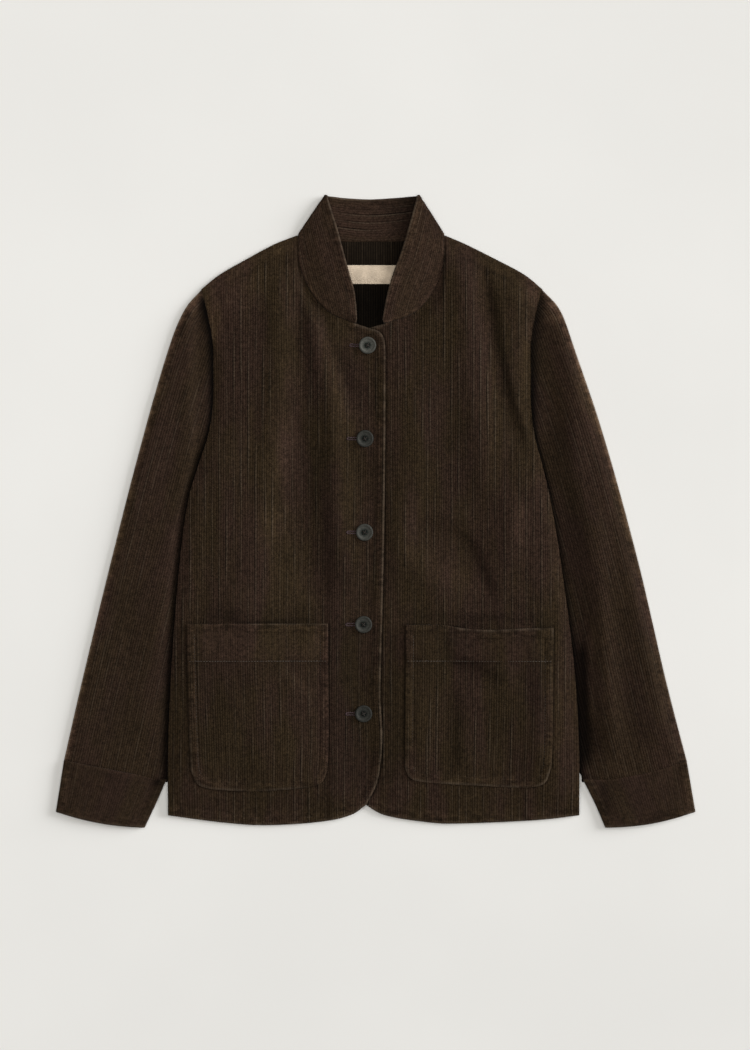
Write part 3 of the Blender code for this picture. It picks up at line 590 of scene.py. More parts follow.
def lattice_noise(x, y, wide, long, seed):
    """Smooth noise from -1 to 1, with its own size across and along."""
    table = np.random.default_rng(seed).uniform(-1.0, 1.0, (128, 128))
    u, v = np.asarray(x) / wide, np.asarray(y) / long
    i, j = np.floor(u).astype(int), np.floor(v).astype(int)
    fu, fv = soft_step(u - i), soft_step(v - j)
    low = table[i % 128, j % 128] * (1 - fu) + table[(i + 1) % 128, j % 128] * fu
    high = table[i % 128, (j + 1) % 128] * (1 - fu) + table[(i + 1) % 128, (j + 1) % 128] * fu
    return low * (1 - fv) + high * fv


def drift(across, along):
    """How far a wale strays from its line: no two are quite as wide."""
    near = 0.42 * lattice_noise(across, along, 4.3, 36.0, 3)
    return near + 0.30 * lattice_noise(across, along, 17.0, 110.0, 5)


def back_under(x, y):
    """The underside of the back: on the surface, or lifted by the sleeve below."""
    inside = np.abs(x) - out_to("inner", x, y) + LIFT_MARGIN
    across = soft_step((inside + LIFT_FADE) / LIFT_FADE)
    top = soft_step((LIFT_TOP_END - y) / LIFT_TOP_FADE)
    hem = soft_step((y - LIFT_HEM_END) / LIFT_HEM_FADE)
    return SLEEVE_LIFT * across * top * hem


def front_puff(x, y):
    """How far the fronts stand off the back, less at their seams and at the button strip."""
    inside = out_to("body", x, y) - np.abs(x)
    from_side = 0.45 * soft_step(inside / 13.0) + 0.55 * soft_step(inside / FRONT_RISE)
    from_hem = soft_step((y - SIDE_SEAM[0].y) / FRONT_RISE)
    from_top = soft_step((up_to_top(x) - y) / FRONT_RISE)
    strip = 1.0 - BUTTON_STRIP_FLATNESS * np.exp(-(((x - LAP_EDGE / 3) / BUTTON_STRIP_WIDTH) ** 2))
    height = FRONT_PUFF + creased(FRONT_CREASES, x, y)
    height = 0.5 * (height + np.sqrt(height * height + 0.8))
    return height * from_side * from_hem * from_top * strip


def left_front_under(x, y):
    return back_under(x, y) + CLOTH + PANEL_GAP + front_puff(x, y)


def right_front_under(x, y):
    lap = soft_step((x - LAP_EDGE + LAP_STEP) / LAP_STEP)
    return left_front_under(x, y) + (CLOTH + LAP_GAP) * lap


def front_top(x, y):
    """The top of the front that a pocket lies on."""
    return np.where(x < 0, right_front_under(x, y), left_front_under(x, y)) + CLOTH


def sleeve_top(x, y):
    """The top of a sleeve: low at its folds and where the body lies on it."""
    limit = np.maximum(out_to("body", x, y), out_to("inner", x, y))
    right, left = SLEEVE_SHAPES["right"], SLEEVE_SHAPES["left"]
    height, from_edge, under = (np.where(x < 0, a, b) for a, b in zip(right, left))
    from_body = soft_step((np.abs(x) - limit + 1.0) / under)
    from_fold = soft_step((out_to("outer", x, y) - np.abs(x)) / from_edge)
    rise = height - SLEEVE_FOLD_HEIGHT + creased(SLEEVE_CREASES, x, y)
    cuff = soft_step((y + 300.0) / 70.0)
    return SLEEVE_FOLD_HEIGHT + rise * (0.45 + 0.55 * cuff) * from_body * from_fold


# ---- Wales and rows ----------------------------------------------------------------------------


def settings():
    return bpy.context.scene.jacket_sizes


def colours():
    return bpy.context.scene.jacket_colours


def wale_columns(first, last, keys=(), samples=(0.0, 0.16, 0.38, 0.62, 0.84)):
    """Places across the wales: some to each rib, and the given ones."""
    pitch = settings().wale_pitch
    kept = sorted([first, last, *keys])
    ribs = range(math.floor(first / pitch) - 1, math.ceil(last / pitch) + 1)
    places = np.array([pitch * (rib + share) for rib in ribs for share in samples])
    clear = np.abs(places[:, None] - np.array(kept)[None, :]).min(axis=1) > 0.22
    places = places[clear & (places > first) & (places < last)]
    return np.sort(np.concatenate([places, kept]))


def groove_picks(columns, keys=()):
    """The columns at the grooves, the ends and the given places."""
    pitch = settings().wale_pitch
    share = columns / pitch
    near = np.abs(share - np.round(share)) < 0.03
    near[[0, -1]] = True
    for key in keys:
        near |= np.abs(columns - key) < 1e-6
    return np.flatnonzero(near)


EDGE_ROWS = np.array([0.0, 0.5, 1.2, 2.3, 3.8, 5.4, 6.6, 8.2])


def row_places(low, high, rows):
    """Rows from low to high on each column, close together near both ends."""
    low, high = np.asarray(low, float), np.asarray(high, float)
    scale = np.minimum(1.0, (high - low) / 26.0)
    start = low + EDGE_ROWS[:, None] * scale
    end = high - EDGE_ROWS[::-1, None] * scale
    shares = np.linspace(0.0, 1.0, rows - 2 * len(EDGE_ROWS) + 3)[1:-1, None]
    middle = start[-1] + (end[0] - start[-1]) * shares
    return np.vstack([start, middle, end])


def row_picks(rows, step, keys=()):
    """Every few rows, the ends and the given ones."""
    picked = set(range(0, rows, step)) | {rows - 1} | set(keys)
    return np.array(sorted(picked))


def rib_relief(wale, along):
    """The height of the pile: round ribs with narrow grooves between them, some more worn."""
    wear = 1.0 + 0.38 * lattice_noise(np.floor(wale + 1e-6), along, 1.0, 30.0, 7)
    wear += 0.22 * lattice_noise(wale, along, 8.0, 70.0, 11)
    return settings().rib_height * wear * np.abs(np.sin(math.pi * wale)) ** 0.5


def normals_of(points, wrap=False):
    """The direction square to a grid of points, up or outward."""
    if wrap:
        padded = np.concatenate([points[:, -1:], points, points[:, :1]], axis=1)
        across = np.gradient(padded, axis=1)[:, 1:-1]
    else:
        across = np.gradient(points, axis=1)
    normal = np.cross(across, np.gradient(points, axis=0))
    length = np.linalg.norm(normal, axis=2, keepdims=True)
    return np.where(length > 1e-5, normal / np.maximum(length, 1e-9), 0.0)


def edge_profile(x, y, edge, seam, rim=9.5):
    """How much lower or higher the cloth is near its sewn and its finished edges."""
    low = -0.55 * (1.0 - soft_step(seam / 2.4))
    low -= 0.8 * (1.0 - soft_step(edge / 2.0))
    strip = 1.0 - soft_step((edge - rim + 1.2) / 1.6)
    low += strip * (0.40 + 0.34 * lattice_noise(x, y, 8.0, 4.4, 13))
    low -= 0.40 * np.exp(-(((edge - rim) / 1.1) ** 2))
    return low


# ---- Meshes ------------------------------------------------------------------------------------

# One of these facts holds painted light and shade, with a few real marks such as stitches and a pressed
# strip
FACTS = ("wale", "along", "edge", "seam", "painted_light_and_marks", "calm")


class Cloth:
    """Gathers the layers of one piece of cloth and makes its mesh."""

    def __init__(self):
        self.points, self.facts, self.size = [], [], 0
        self.quads, self.others = [], []

    def add(self, points, facts):
        """Adds a grid of points and returns its numbers."""
        rows, columns = points.shape[:2]
        numbers = np.arange(rows * columns).reshape(rows, columns) + self.size
        self.size += rows * columns
        self.points.append(points.reshape(-1, 3))
        spread = [np.broadcast_to(facts.get(name, 0.0), (rows, columns)).reshape(-1) for name in FACTS]
        self.facts.append(np.column_stack(spread))
        return numbers

    def cover(self, numbers, mask=None, finish=0, turned=False, wrap=False):
        """Faces over a grid of numbers, where its mask lets them be."""
        if wrap:
            numbers = np.concatenate([numbers, numbers[:, :1]], axis=1)
        low, high = numbers[:-1], numbers[1:]
        quads = np.stack([low[:, :-1], low[:, 1:], high[:, 1:], high[:, :-1]], axis=-1)
        quads = quads.reshape(-1, 4) if mask is None else quads[mask]
        self.quads.append((quads[:, ::-1] if turned else quads, finish))

    def rim(self, loop, partner, finish=0):
        """Faces between a fine loop and the coarse one that some of its points have partners on."""
        marks = [k for k, number in enumerate(loop) if number in partner]
        loop = loop[marks[0]:] + loop[: marks[0]]
        marks = [k - marks[0] for k in marks] + [len(loop)]
        loop = loop + loop[:1]
        for a, b in zip(marks, marks[1:]):
            face = loop[a : b + 1][::-1] + [partner[loop[a]], partner[loop[b]]]
            self.others.append((face, finish))

    def make(self, name, finishes):
        """The mesh, with points at the same place joined."""
        points, facts = np.vstack(self.points), np.vstack(self.facts)
        keys = np.round(points * 500.0).astype(np.int64)
        _, first, merged = np.unique(keys, axis=0, return_index=True, return_inverse=True)
        merged = merged.reshape(-1)
        faces, slots, soft = [], [], []
        for quads, finish in self.quads:
            quads = merged[quads]
            same = quads == np.roll(quads, -1, axis=1)
            sound = (quads[:, 0] != quads[:, 2]) & (quads[:, 1] != quads[:, 3])
            whole = quads[(same.sum(axis=1) == 0) & sound]
            narrow = (same.sum(axis=1) == 1) & sound
            three = quads[narrow][~same[narrow]].reshape(-1, 3)
            faces += whole.tolist() + three.tolist()
            slots += [finish] * (len(whole) + len(three))
            soft += [True] * (len(whole) + len(three))
        for face, finish in self.others:
            face = merged[face].tolist()
            face = [a for a, b in zip(face, face[1:] + face[:1]) if a != b]
            if len(face) >= 3 and len(set(face)) == len(face):
                faces.append(face)
                slots.append(finish)
                soft.append(False)
        used = np.unique(np.concatenate([np.array(face) for face in faces]))
        place = np.zeros(len(first), np.int64)
        place[used] = np.arange(len(used))
        faces = [[int(place[k]) for k in face] for face in faces]
        mesh = bpy.data.meshes.new(name)
        mesh.from_pydata((points[first][used] * METRE).tolist(), [], faces)
        for k, fact in enumerate(FACTS):
            values = mesh.attributes.new(fact, "FLOAT", "POINT")
            values.data.foreach_set("value", facts[first][used][:, k].astype(np.float32))
        mesh.polygons.foreach_set("material_index", slots)
        mesh.polygons.foreach_set("use_smooth", soft)
        for finish in finishes:
            mesh.materials.append(finish)
        shape = bmesh.new()
        shape.from_mesh(mesh)
        bmesh.ops.recalc_face_normals(shape, faces=shape.faces)
        shape.to_mesh(mesh)
        shape.free()
        return link(name, mesh)


def link(name, data):
    """An object for some data, in the scene."""
    made = bpy.data.objects.new(name, data)
    bpy.context.scene.collection.objects.link(made)
    return made


def edge_loops(mask):
    """The loops of grid points round the cells of a mask."""
    padded = np.pad(mask, 1)
    after = {}
    for i, j in zip(*np.nonzero(mask)):
        a, b, c, d = (i, j), (i, j + 1), (i + 1, j + 1), (i + 1, j)
        if not padded[i, j + 1]:
            after[a] = b
        if not padded[i + 1, j + 2]:
            after[b] = c
        if not padded[i + 2, j + 1]:
            after[c] = d
        if not padded[i + 1, j]:
            after[d] = a
    loops = []
    while after:
        start = next(iter(after))
        loop, here = [], start
        while here in after:
            loop.append(here)
            here = after.pop(here)
        loops.append(loop)
    return loops


def add_wall(cloth, over, under, facts, mask, rows, columns, inner_painted_light=None):
    """A fine face and a coarse one behind it, joined round their edges."""
    fine = cloth.add(over, facts)
    cloth.cover(fine, mask)
    pick = np.ix_(rows, columns)
    behind = {name: np.broadcast_to(facts.get(name, 0.0), fine.shape)[pick] for name in FACTS}
    if inner_painted_light is not None:
        behind["painted_light_and_marks"] = inner_painted_light[pick]
    coarse = cloth.add(under[pick], behind)
    cloth.cover(coarse, mask[np.ix_(rows[:-1], columns[:-1])], 1, turned=True)
    places = {(i, j): (a, b) for a, i in enumerate(rows) for b, j in enumerate(columns)}
    partner = {int(fine[spot]): int(coarse[at]) for spot, at in places.items()}
    for loop in edge_loops(mask):
        cloth.rim([int(fine[i, j]) for i, j in loop], partner)


def as_piece(made, node):
    """Attaches a piece to the body that it moves with, and hides the part that it stands for."""
    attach(made, BODY)
    if node:
        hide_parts(node)


# ---- Finishes ----------------------------------------------------------------------------------


class Graph:
    """Adds nodes to a tree from left to right, and joins them."""

    def __init__(self, tree):
        self.tree, self.column = tree, 0

    def put(self, value, socket):
        """Joins an output to a socket, or sets the socket's value."""
        if isinstance(value, bpy.types.NodeSocket):
            self.tree.links.new(value, socket)
        else:
            socket.default_value = value

    def add(self, kind, inputs=(), output=0, **options):
        node = self.tree.nodes.new(kind)
        node.location = (self.column * 190.0, -(self.column % 3) * 160.0)
        self.column += 1
        for name, value in options.items():
            setattr(node, name, value)
        for name, value in dict(inputs).items():
            self.put(value, node.inputs[name])
        return node if output is None else node.outputs[output]

    def maths(self, operation, *values):
        return self.add("ShaderNodeMath", enumerate(values), operation=operation)

    def times(self, a, b):
        return self.maths("MULTIPLY", a, b)

    def plus(self, a, b):
        return self.maths("ADD", a, b)

    def minus(self, a, b):
        return self.maths("SUBTRACT", a, b)

    def ramp(self, *limits):
        """A value drawn out softly from between two limits to between two more, or to 0 and 1."""
        values = enumerate((*limits, 0.0, 1.0)[:5])
        return self.add("ShaderNodeMapRange", values, interpolation_type="SMOOTHSTEP")

    def mix(self, share, a, b):
        return self.add("ShaderNodeMix", {0: share, 6: a, 7: b}, 2, data_type="RGBA")

    def noise(self, place, scale, detail=2.0, roughness=0.5):
        inputs = {"Vector": place, "Scale": scale, "Detail": detail, "Roughness": roughness}
        return self.add("ShaderNodeTexNoise", inputs)

    def fact(self, name):
        """A value that the mesh holds for each of its points."""
        return self.add("ShaderNodeAttribute", attribute_name=name, output="Fac")

    def place(self):
        return self.add("ShaderNodeTexCoord", output="Object")

    def scaled(self, colour, factor):
        """A colour made lighter or darker."""
        return self.add("ShaderNodeVectorMath", {0: colour, "Scale": factor}, operation="SCALE")

    def shared(self, maker, inputs):
        """The outputs of a node group, which is made when it is first needed."""
        tree = bpy.data.node_groups.get(maker.__name__) or maker()
        return self.add("ShaderNodeGroup", inputs, None, node_tree=tree).outputs


COLOUR, VALUE = "NodeSocketColor", "NodeSocketFloat"
BLACK = (0.0, 0.0, 0.0, 1.0)


def new_group(name, inputs, outputs):
    """An empty node group: its graph, and what goes into it. Each input has its first value."""
    tree = bpy.data.node_groups.new(name, "ShaderNodeTree")
    for word, first in inputs.items():
        kind = VALUE if isinstance(first, float) else COLOUR
        socket = tree.interface.new_socket(word, in_out="INPUT", socket_type=kind)
        socket.default_value = first
    for word, kind in outputs.items():
        tree.interface.new_socket(word, in_out="OUTPUT", socket_type=kind)
    graph = Graph(tree)
    return graph, graph.add("NodeGroupInput", output=None).outputs


def end_group(graph, values):
    end = graph.add("NodeGroupOutput", output=None)
    for word, value in values.items():
        graph.tree.links.new(value, end.inputs[word])
    return graph.tree


def wale_streaks():
    """Ribs that differ a little, and lighter ribs beside some deep grooves; all the grooves are darkened as
    painted shade, the deep ones more.
    """
    graph, given = new_group(
        "wale_streaks",
        {
            "Wale": 0.0, "Along": 0.0, "Ground": BLACK, "Tint": BLACK, "Streak": BLACK,
            "Streaks": 0.6, "Groove": 0.5, "Deep": 0.6, "Calm": 0.0,
        },
        {"Color": COLOUR},
    )

    def spread(number, across, along_it, seed, detail=3.0, roughness=0.6):
        """Noise that changes from wale to wale and along them."""
        x, y = graph.times(number, across), graph.times(given["Along"], along_it)
        place = graph.add("ShaderNodeCombineXYZ", {"X": x, "Y": y, "Z": seed})
        return graph.noise(place, 1.0, detail, roughness)

    def marked(number):
        """Some of every third wale, with a shift to the next one here and there."""
        jitter = spread(number, 0.10, 0.0045, 2.9, 1.0)
        turn = graph.maths("FRACT", graph.plus(graph.maths("DIVIDE", number, 3.1), jitter))
        near = graph.maths("ABSOLUTE", graph.minus(turn, 0.5))
        strength = graph.ramp(spread(number, 0.73, 0.010, 5.1), 0.40, 0.66, 0.08, 1.0)
        return graph.times(graph.minus(1.0, graph.ramp(near, 0.11, 0.2)), strength)

    lively = graph.minus(1.0, given["Calm"])
    rib, groove = graph.maths("FLOOR", given["Wale"]), graph.maths("ROUND", given["Wale"])
    streak = graph.times(graph.times(marked(rib), given["Streaks"]), lively)
    band = graph.ramp(spread(given["Wale"], 0.085, 0.0085, 3.7, 3.0, 0.5), 0.38, 0.66)
    ground = graph.mix(band, given["Ground"], given["Tint"])
    level = graph.ramp(spread(rib, 0.73, 0.07, 7.3), 0.3, 0.7, 0.88, 1.12)
    ground = graph.scaled(ground, level)
    turn = graph.times(graph.maths("FRACT", given["Wale"]), math.pi)
    round_top = graph.maths("MAXIMUM", graph.maths("SINE", turn), 0.0)
    crown, peak = graph.maths("POWER", round_top, 0.7), graph.maths("POWER", round_top, 3.0)
    colour = graph.mix(graph.times(streak, peak), ground, given["Streak"])
    # Painted shade in the grooves between ribs, darker in some deep ones
    fine = graph.times(given["Groove"], graph.minus(1.0, crown))
    away = graph.maths("ABSOLUTE", graph.minus(given["Wale"], groove))
    near = graph.minus(1.0, graph.ramp(away, 0.08, 0.34))
    deep = graph.times(graph.times(marked(groove), near), given["Deep"])
    dark = graph.times(graph.maths("MAXIMUM", fine, deep), lively)
    return end_group(graph, {"Color": graph.scaled(colour, graph.minus(1.0, dark))})


def pile():
    """Short soft pile: small mottles, and bumps of the same grain."""
    graph, given = new_group(
        "pile", {"Color": BLACK, "Mottle": 0.3}, {"Color": COLOUR, "Height": VALUE}
    )
    place = graph.place()
    fine = graph.noise(place, 1100.0, 2.0, 0.7)
    middle = graph.noise(place, 330.0, 2.0, 0.6)
    wide = graph.noise(place, 62.0, 4.0, 0.6)
    both = graph.plus(graph.times(fine, 0.52), graph.times(middle, 0.30))
    level = graph.ramp(graph.plus(both, graph.times(wide, 0.03)), 0.325, 0.53, -1.0, 1.0)
    factor = graph.plus(1.0, graph.times(level, given["Mottle"]))
    return end_group(graph, {"Color": graph.scaled(given["Color"], factor), "Height": fine})


def worn_edge_and_seam_shade():
    """Finished edges rubbed lighter, painted shade along seams and where pieces meet, and a puckered strip
    inside the edges with painted shade in the troughs of its puckers.
    """
    graph, given = new_group(
        "worn_edge_and_seam_shade",
        {"Color": BLACK, "Worn": BLACK, "Edge": FAR_OFF, "Seam": FAR_OFF, "Width": 2.0},
        {"Color": COLOUR, "Pucker": VALUE},
    )
    place = graph.place()
    patchy = graph.ramp(graph.noise(place, 60.0, 3.0), 0.30, 0.66)
    near = graph.minus(1.0, graph.ramp(given["Edge"], 0.8, given["Width"]))
    rubbed = graph.times(near, graph.ramp(patchy, 0.0, 1.0, 0.08, 0.40))
    colour = graph.mix(rubbed, given["Color"], given["Worn"])
    # Painted shade near seams and where one piece meets another
    colour = graph.scaled(colour, graph.ramp(given["Seam"], 0.0, 3.5, 0.42, 1.0))
    strip = graph.minus(1.0, graph.ramp(given["Edge"], 8.0, 13.0))
    stretched = {0: place, 1: (70.0, 175.0, 60.0)}
    flat = graph.add("ShaderNodeVectorMath", stretched, operation="MULTIPLY")
    ripple = graph.noise(flat, 1.0, 2.0, 0.6)
    pucker = graph.times(strip, graph.times(ripple, 1.6))
    # Painted shade in the troughs of the puckers, with the strip a little lighter
    low = graph.times(strip, graph.ramp(ripple, 0.60, 0.38, 0.0, 0.42))
    level = graph.minus(graph.plus(1.0, graph.times(strip, 0.16)), low)
    return end_group(graph, {"Color": graph.scaled(colour, level), "Pucker": pucker})


def wide_open(colour):
    """A colour with nothing to see through."""
    return (*colour, 1.0)


def new_material(name, roughness, sheen=0.0, sheen_roughness=0.5, specular=0.3, sheen_tint=None):
    """A material with its surface shader, and a graph to build on."""
    made = bpy.data.materials.new(name)
    made.use_nodes = True
    surface = made.node_tree.nodes["Principled BSDF"]
    values = {
        "Roughness": roughness,
        "Metallic": 0.0,
        "Specular IOR Level": specular,
        "Sheen Weight": sheen,
        "Sheen Roughness": sheen_roughness,
    }
    if sheen_tint:
        values["Sheen Tint"] = wide_open(sheen_tint)
    for word, value in values.items():
        surface.inputs[word].default_value = value
    return made, surface, Graph(made.node_tree)


def paint(graph, surface, tone):
    graph.tree.links.new(tone, surface.inputs["Base Color"])


def bump_into(graph, surface, height, distance):
    inputs = {"Height": height, "Distance": distance, "Strength": 1.0}
    graph.tree.links.new(graph.add("ShaderNodeBump", inputs), surface.inputs["Normal"])


def corduroy_finish(
    name="corduroy_pile", streaks=0.62, groove=0.2, mottle=0.5, warmth=0.0, deep=0.72
):
    """Pile with wales, streaks and rubbed edges, painted shade along seams, and painted light and shade
    held by the mesh's points.
    """
    if name in bpy.data.materials:
        return bpy.data.materials[name]
    tones = colours()
    made, surface, graph = new_material(name, 0.9, 0.08, 0.35, 0.05, (0.80, 0.70, 0.64))
    warmed = [a + warmth * (b - a) for a, b in zip(tones.corduroy, tones.tint)]
    wales = {
        "Wale": graph.fact("wale"),
        "Along": graph.fact("along"),
        "Ground": wide_open(warmed),
        "Tint": wide_open(tones.tint),
        "Streak": wide_open(tones.streak),
        "Streaks": streaks,
        "Groove": groove,
        "Deep": deep,
        "Calm": graph.fact("calm"),
    }
    colour = graph.shared(wale_streaks, wales)["Color"]
    soft = graph.shared(pile, {"Color": colour, "Mottle": mottle})
    rubbed = {
        "Color": soft["Color"],
        "Worn": wide_open(tones.worn),
        "Edge": graph.fact("edge"),
        "Seam": graph.fact("seam"),
        "Width": 3.8,
    }
    edges = graph.shared(worn_edge_and_seam_shade, rubbed)
    # Painted light and shade: the pile's colour made lighter or darker by a share held at each point
    painted_light_share = graph.plus(1.0, graph.fact("painted_light_and_marks"))
    paint(graph, surface, graph.scaled(edges["Color"], painted_light_share))
    height = graph.plus(graph.times(soft["Height"], 0.12), edges["Pucker"])
    bump_into(graph, surface, height, 0.0011)
    return made


def inside_finish():
    """The wrong side of the cloth: flat, and very dark as painted shade for the inside of the neck, with
    faint lines of the wales.
    """
    if "corduroy_inside" in bpy.data.materials:
        return bpy.data.materials["corduroy_inside"]
    tone = colours().inside
    made, surface, graph = new_material("corduroy_inside", 0.95, 0.0, 0.5, 0.03)
    wales = {
        "Wale": graph.fact("wale"),
        "Along": graph.fact("along"),
        "Ground": wide_open(tone),
        "Tint": wide_open(tone),
        "Streak": wide_open([2.0 * c for c in tone]),
        "Streaks": 0.8,
        "Groove": 0.9,
        "Deep": 0.7,
    }
    colour = graph.shared(wale_streaks, wales)["Color"]
    soft = graph.shared(pile, {"Color": colour, "Mottle": 0.25})
    # Painted light and shade: the colour made lighter or darker by a share held at each point
    painted_light_share = graph.plus(1.0, graph.fact("painted_light_and_marks"))
    paint(graph, surface, graph.scaled(soft["Color"], painted_light_share))
    bump_into(graph, surface, soft["Height"], 0.0002)
    return made


def thread_finish(name, colour):
    made, surface, graph = new_material(name, 0.6, 0.1, 0.4, 0.3)
    place = graph.place()
    level = graph.ramp(graph.noise(place, 900.0, 2.0), 0.3, 0.7, 0.7, 1.3)
    paint(graph, surface, graph.scaled(tuple(colour), level))
    bump_into(graph, surface, graph.noise(place, 2500.0, 1.0), 0.0001)
    return made


def cloth_finishes():
    return [corduroy_finish(), inside_finish()]


def sleeve_finishes():
    return [corduroy_finish("corduroy_sleeve", 0.40, 0.24, 0.46, 0.3, 0.40), inside_finish()]


# ---- Body --------------------------------------------------------------------------------------


def split_armhole(side):
    """The edge below the waist of the armhole and the one above it, as graphs of height."""
    line = LINES["body", side]
    out = np.abs(line[:, 0])
    lower, upper = line[:, 1] <= WAIST, line[:, 1] >= WAIST
    waist = float(np.interp(WAIST, line[:, 1], out))
    low = np.vstack([np.column_stack([out, line[:, 1]])[lower], (waist, WAIST)])
    high = np.vstack([(waist, WAIST), np.column_stack([out, line[:, 1]])[upper]])
    return waist, rising(low[::-1]), rising(high)


def body_grid(first, last, foot, head, rows):
    """Columns from the hem to the top, in two storeys that meet at the waist of the armholes.

    Returns the places, the mask of the cells that are there, and the picks for the coarse side.
    """
    lower_rows, upper_rows = rows
    split = {side: split_armhole(side) for side in SIDES}
    tips = {side: abs(getattr(SHOULDER[0], side)) - 0.3 for side in SIDES}
    keys = []
    if first < -200.0:
        keys += [-split["right"][0], -tips["right"]]
    if last > 200.0:
        keys += [split["left"][0], tips["left"]]
    columns = wale_columns(first, last, keys)
    out = np.abs(columns)
    waist = np.where(columns < 0, split["right"][0], split["left"][0])
    tip = np.where(columns < 0, tips["right"], tips["left"])
    lower_end = np.full(len(columns), WAIST - WAIST_GAP)
    upper_start = np.full(len(columns), WAIST + WAIST_GAP)
    for side, here in (("right", columns < 0), ("left", columns >= 0)):
        _, low, high = split[side]
        beyond = here & (out > waist + 1e-6)
        lower_end[beyond] = np.interp(out[beyond], low[:, 0], low[:, 1])
        upper_start[beyond] = np.interp(out[beyond], high[:, 0], high[:, 1])
    lower_end = np.minimum(lower_end, WAIST - WAIST_GAP)
    upper_start = np.maximum(upper_start, WAIST + WAIST_GAP)
    foot_y, head_y = height_on(foot, columns), height_on(head, columns)
    head_y = np.maximum(head_y, upper_start + 0.3)
    lower = row_places(foot_y, lower_end, lower_rows)
    y = np.vstack([lower, row_places(upper_start, head_y, upper_rows)])
    split_row = lower_rows + 1
    mask = np.ones((len(y) - 1, len(columns) - 1), bool)
    inner = out <= waist + 1e-6
    mask[split_row - 1] = inner[:-1] & inner[1:]
    shown = out <= tip + 1e-6
    mask[split_row:] = shown[:-1] & shown[1:]
    x = np.broadcast_to(columns, y.shape).copy()
    picks = row_picks(len(y), 2, (split_row - 1, split_row)), groove_picks(columns, keys)
    return x, y, columns, mask, picks


def opening_x(y):
    """Where the upper front's edge is, at heights y."""
    line = smooth_line(RIGHT_OPENING)
    keep = (line[:, 1] >= OPENING_HEM) & (line[:, 1] <= OPENING_TOP)
    return np.interp(y, line[keep][:, 1], line[keep][:, 0])


def body_facts(x, y, columns, free, sewn):
    """What each point of a panel knows of the wales and of its free and its sewn edges."""
    return {
        "wale": np.broadcast_to(columns / settings().wale_pitch, x.shape),
        "along": y,
        "edge": distance_to(x, y, free),
        "seam": distance_to(x, y, sewn),
    }


def raise_wall(name, x, y, facts, under, mask, picks, side):
    """A panel whose pile faces up."""
    base = under(x, y)
    shaped = edge_profile(x, y, facts["edge"], np.minimum(facts["seam"], side))
    over = np.stack([x, y, base + CLOTH - FACE_DROP + shaped], axis=-1)
    relief = rib_relief(facts["wale"], facts["along"]) * (1.0 - 0.6 * facts["calm"])
    over += normals_of(over) * relief[..., None]
    below = np.stack([x, y, base], axis=-1)
    cloth = Cloth()
    add_wall(cloth, over, below, facts, mask, *picks)
    return cloth.make(name, cloth_finishes())


def tucked_neck(side):
    """The neckline, drawn in under the collar towards the shoulder."""
    line = LINES["neck", side].copy()
    line[:, 0] -= np.sign(line[:, 0]) * 3.2 * soft_step((line[:, 1] - 225.0) / 60.0)
    return line


def add_front(side):
    neck, body = tucked_neck(side), LINES["body", side]
    shoulder = LINES["shoulder", side]
    pocket_low, pocket_high, pocket_foot = pocket_plan(side)
    right_edges = [smooth_line(RIGHT_OPENING), smooth_line(RIGHT_LAP_NECK)]
    if side == "right":
        outline = chain(smooth_line(RIGHT_HEM), smooth_line(RIGHT_OPENING[:3]))
        foot = outline.copy()
        share = soft_step((foot[:, 0] + 60.0) / 70.0)
        foot[:, 0] += 3.4 * share * (foot[:, 0] > -60.0)
        head = chain(shoulder, np.vstack([shoulder[-1], neck]), smooth_line(RIGHT_LAP_NECK))
        first, last, under = PANEL_RIGHT, LAP_OVER, right_front_under
        free = [smooth_line(RIGHT_HEM), *right_edges]
    else:
        foot = chain(smooth_line(LEFT_OPENING), smooth_line(LEFT_HEM))
        to_neck = np.vstack([neck[::-1], shoulder[-1]])
        head = chain(smooth_line(LEFT_LAP_NECK), to_neck, shoulder[::-1])
        first, last, under = LAP_UNDER, PANEL_LEFT, left_front_under
        free = [smooth_line(LEFT_HEM), smooth_line(LEFT_LAP_NECK)]
    x, y, columns, mask, picks = body_grid(first, last, foot, head, (100, 40))
    if side == "right":
        x = x + soft_step((x + 60.0) / 70.0) * (opening_x(y) - LAP_OVER)
    facts = body_facts(x, y, columns, free, [LINES["neck", side]])
    facts["seam"] = facts["seam"] + 2.2
    outside = distance_to(x, y, [body, shoulder])
    # A pressed strip along the shoulder, and the fine line on its inner side
    yoke = distance_to(x, y, [shoulder])
    band = 1.0 - soft_step((yoke - 12.5) / 2.5)
    facts["calm"] = 0.85 * band
    facts["painted_light_and_marks"] = strokes(FRONT_PAINTED_LIGHT, x, y) + 0.06 * band
    facts["painted_light_and_marks"] -= 0.26 * np.exp(-(((yoke - 15.0) / 1.3) ** 2))
    # Painted highlight along the shoulder's edge
    facts["painted_light_and_marks"] += 0.25 * np.exp(-((yoke / 2.0) ** 2))
    # Shade round the pocket and under the lap
    mouth = smooth_line(POCKET_TOPS[side])
    pocket = chain(pocket_low[::-1], pocket_foot, pocket_high)
    facts["seam"] = np.minimum(facts["seam"], distance_to(x, y, [pocket, mouth]) + 0.6)
    facts["painted_light_and_marks"] += strokes([Crease(mouth[::6] + (0.0, 1.6), 2.6, 1.6, -0.42)], x, y)
    if side == "left":
        facts["seam"] = np.minimum(facts["seam"], distance_to(x, y, right_edges))
    still = np.minimum(facts["edge"], outside)
    x = x + drift(x, y) * soft_step(still / 9.0)
    made = raise_wall("front_" + side + "_cloth", x, y, facts, under, mask, picks, outside)
    as_piece(made, "front_" + side)


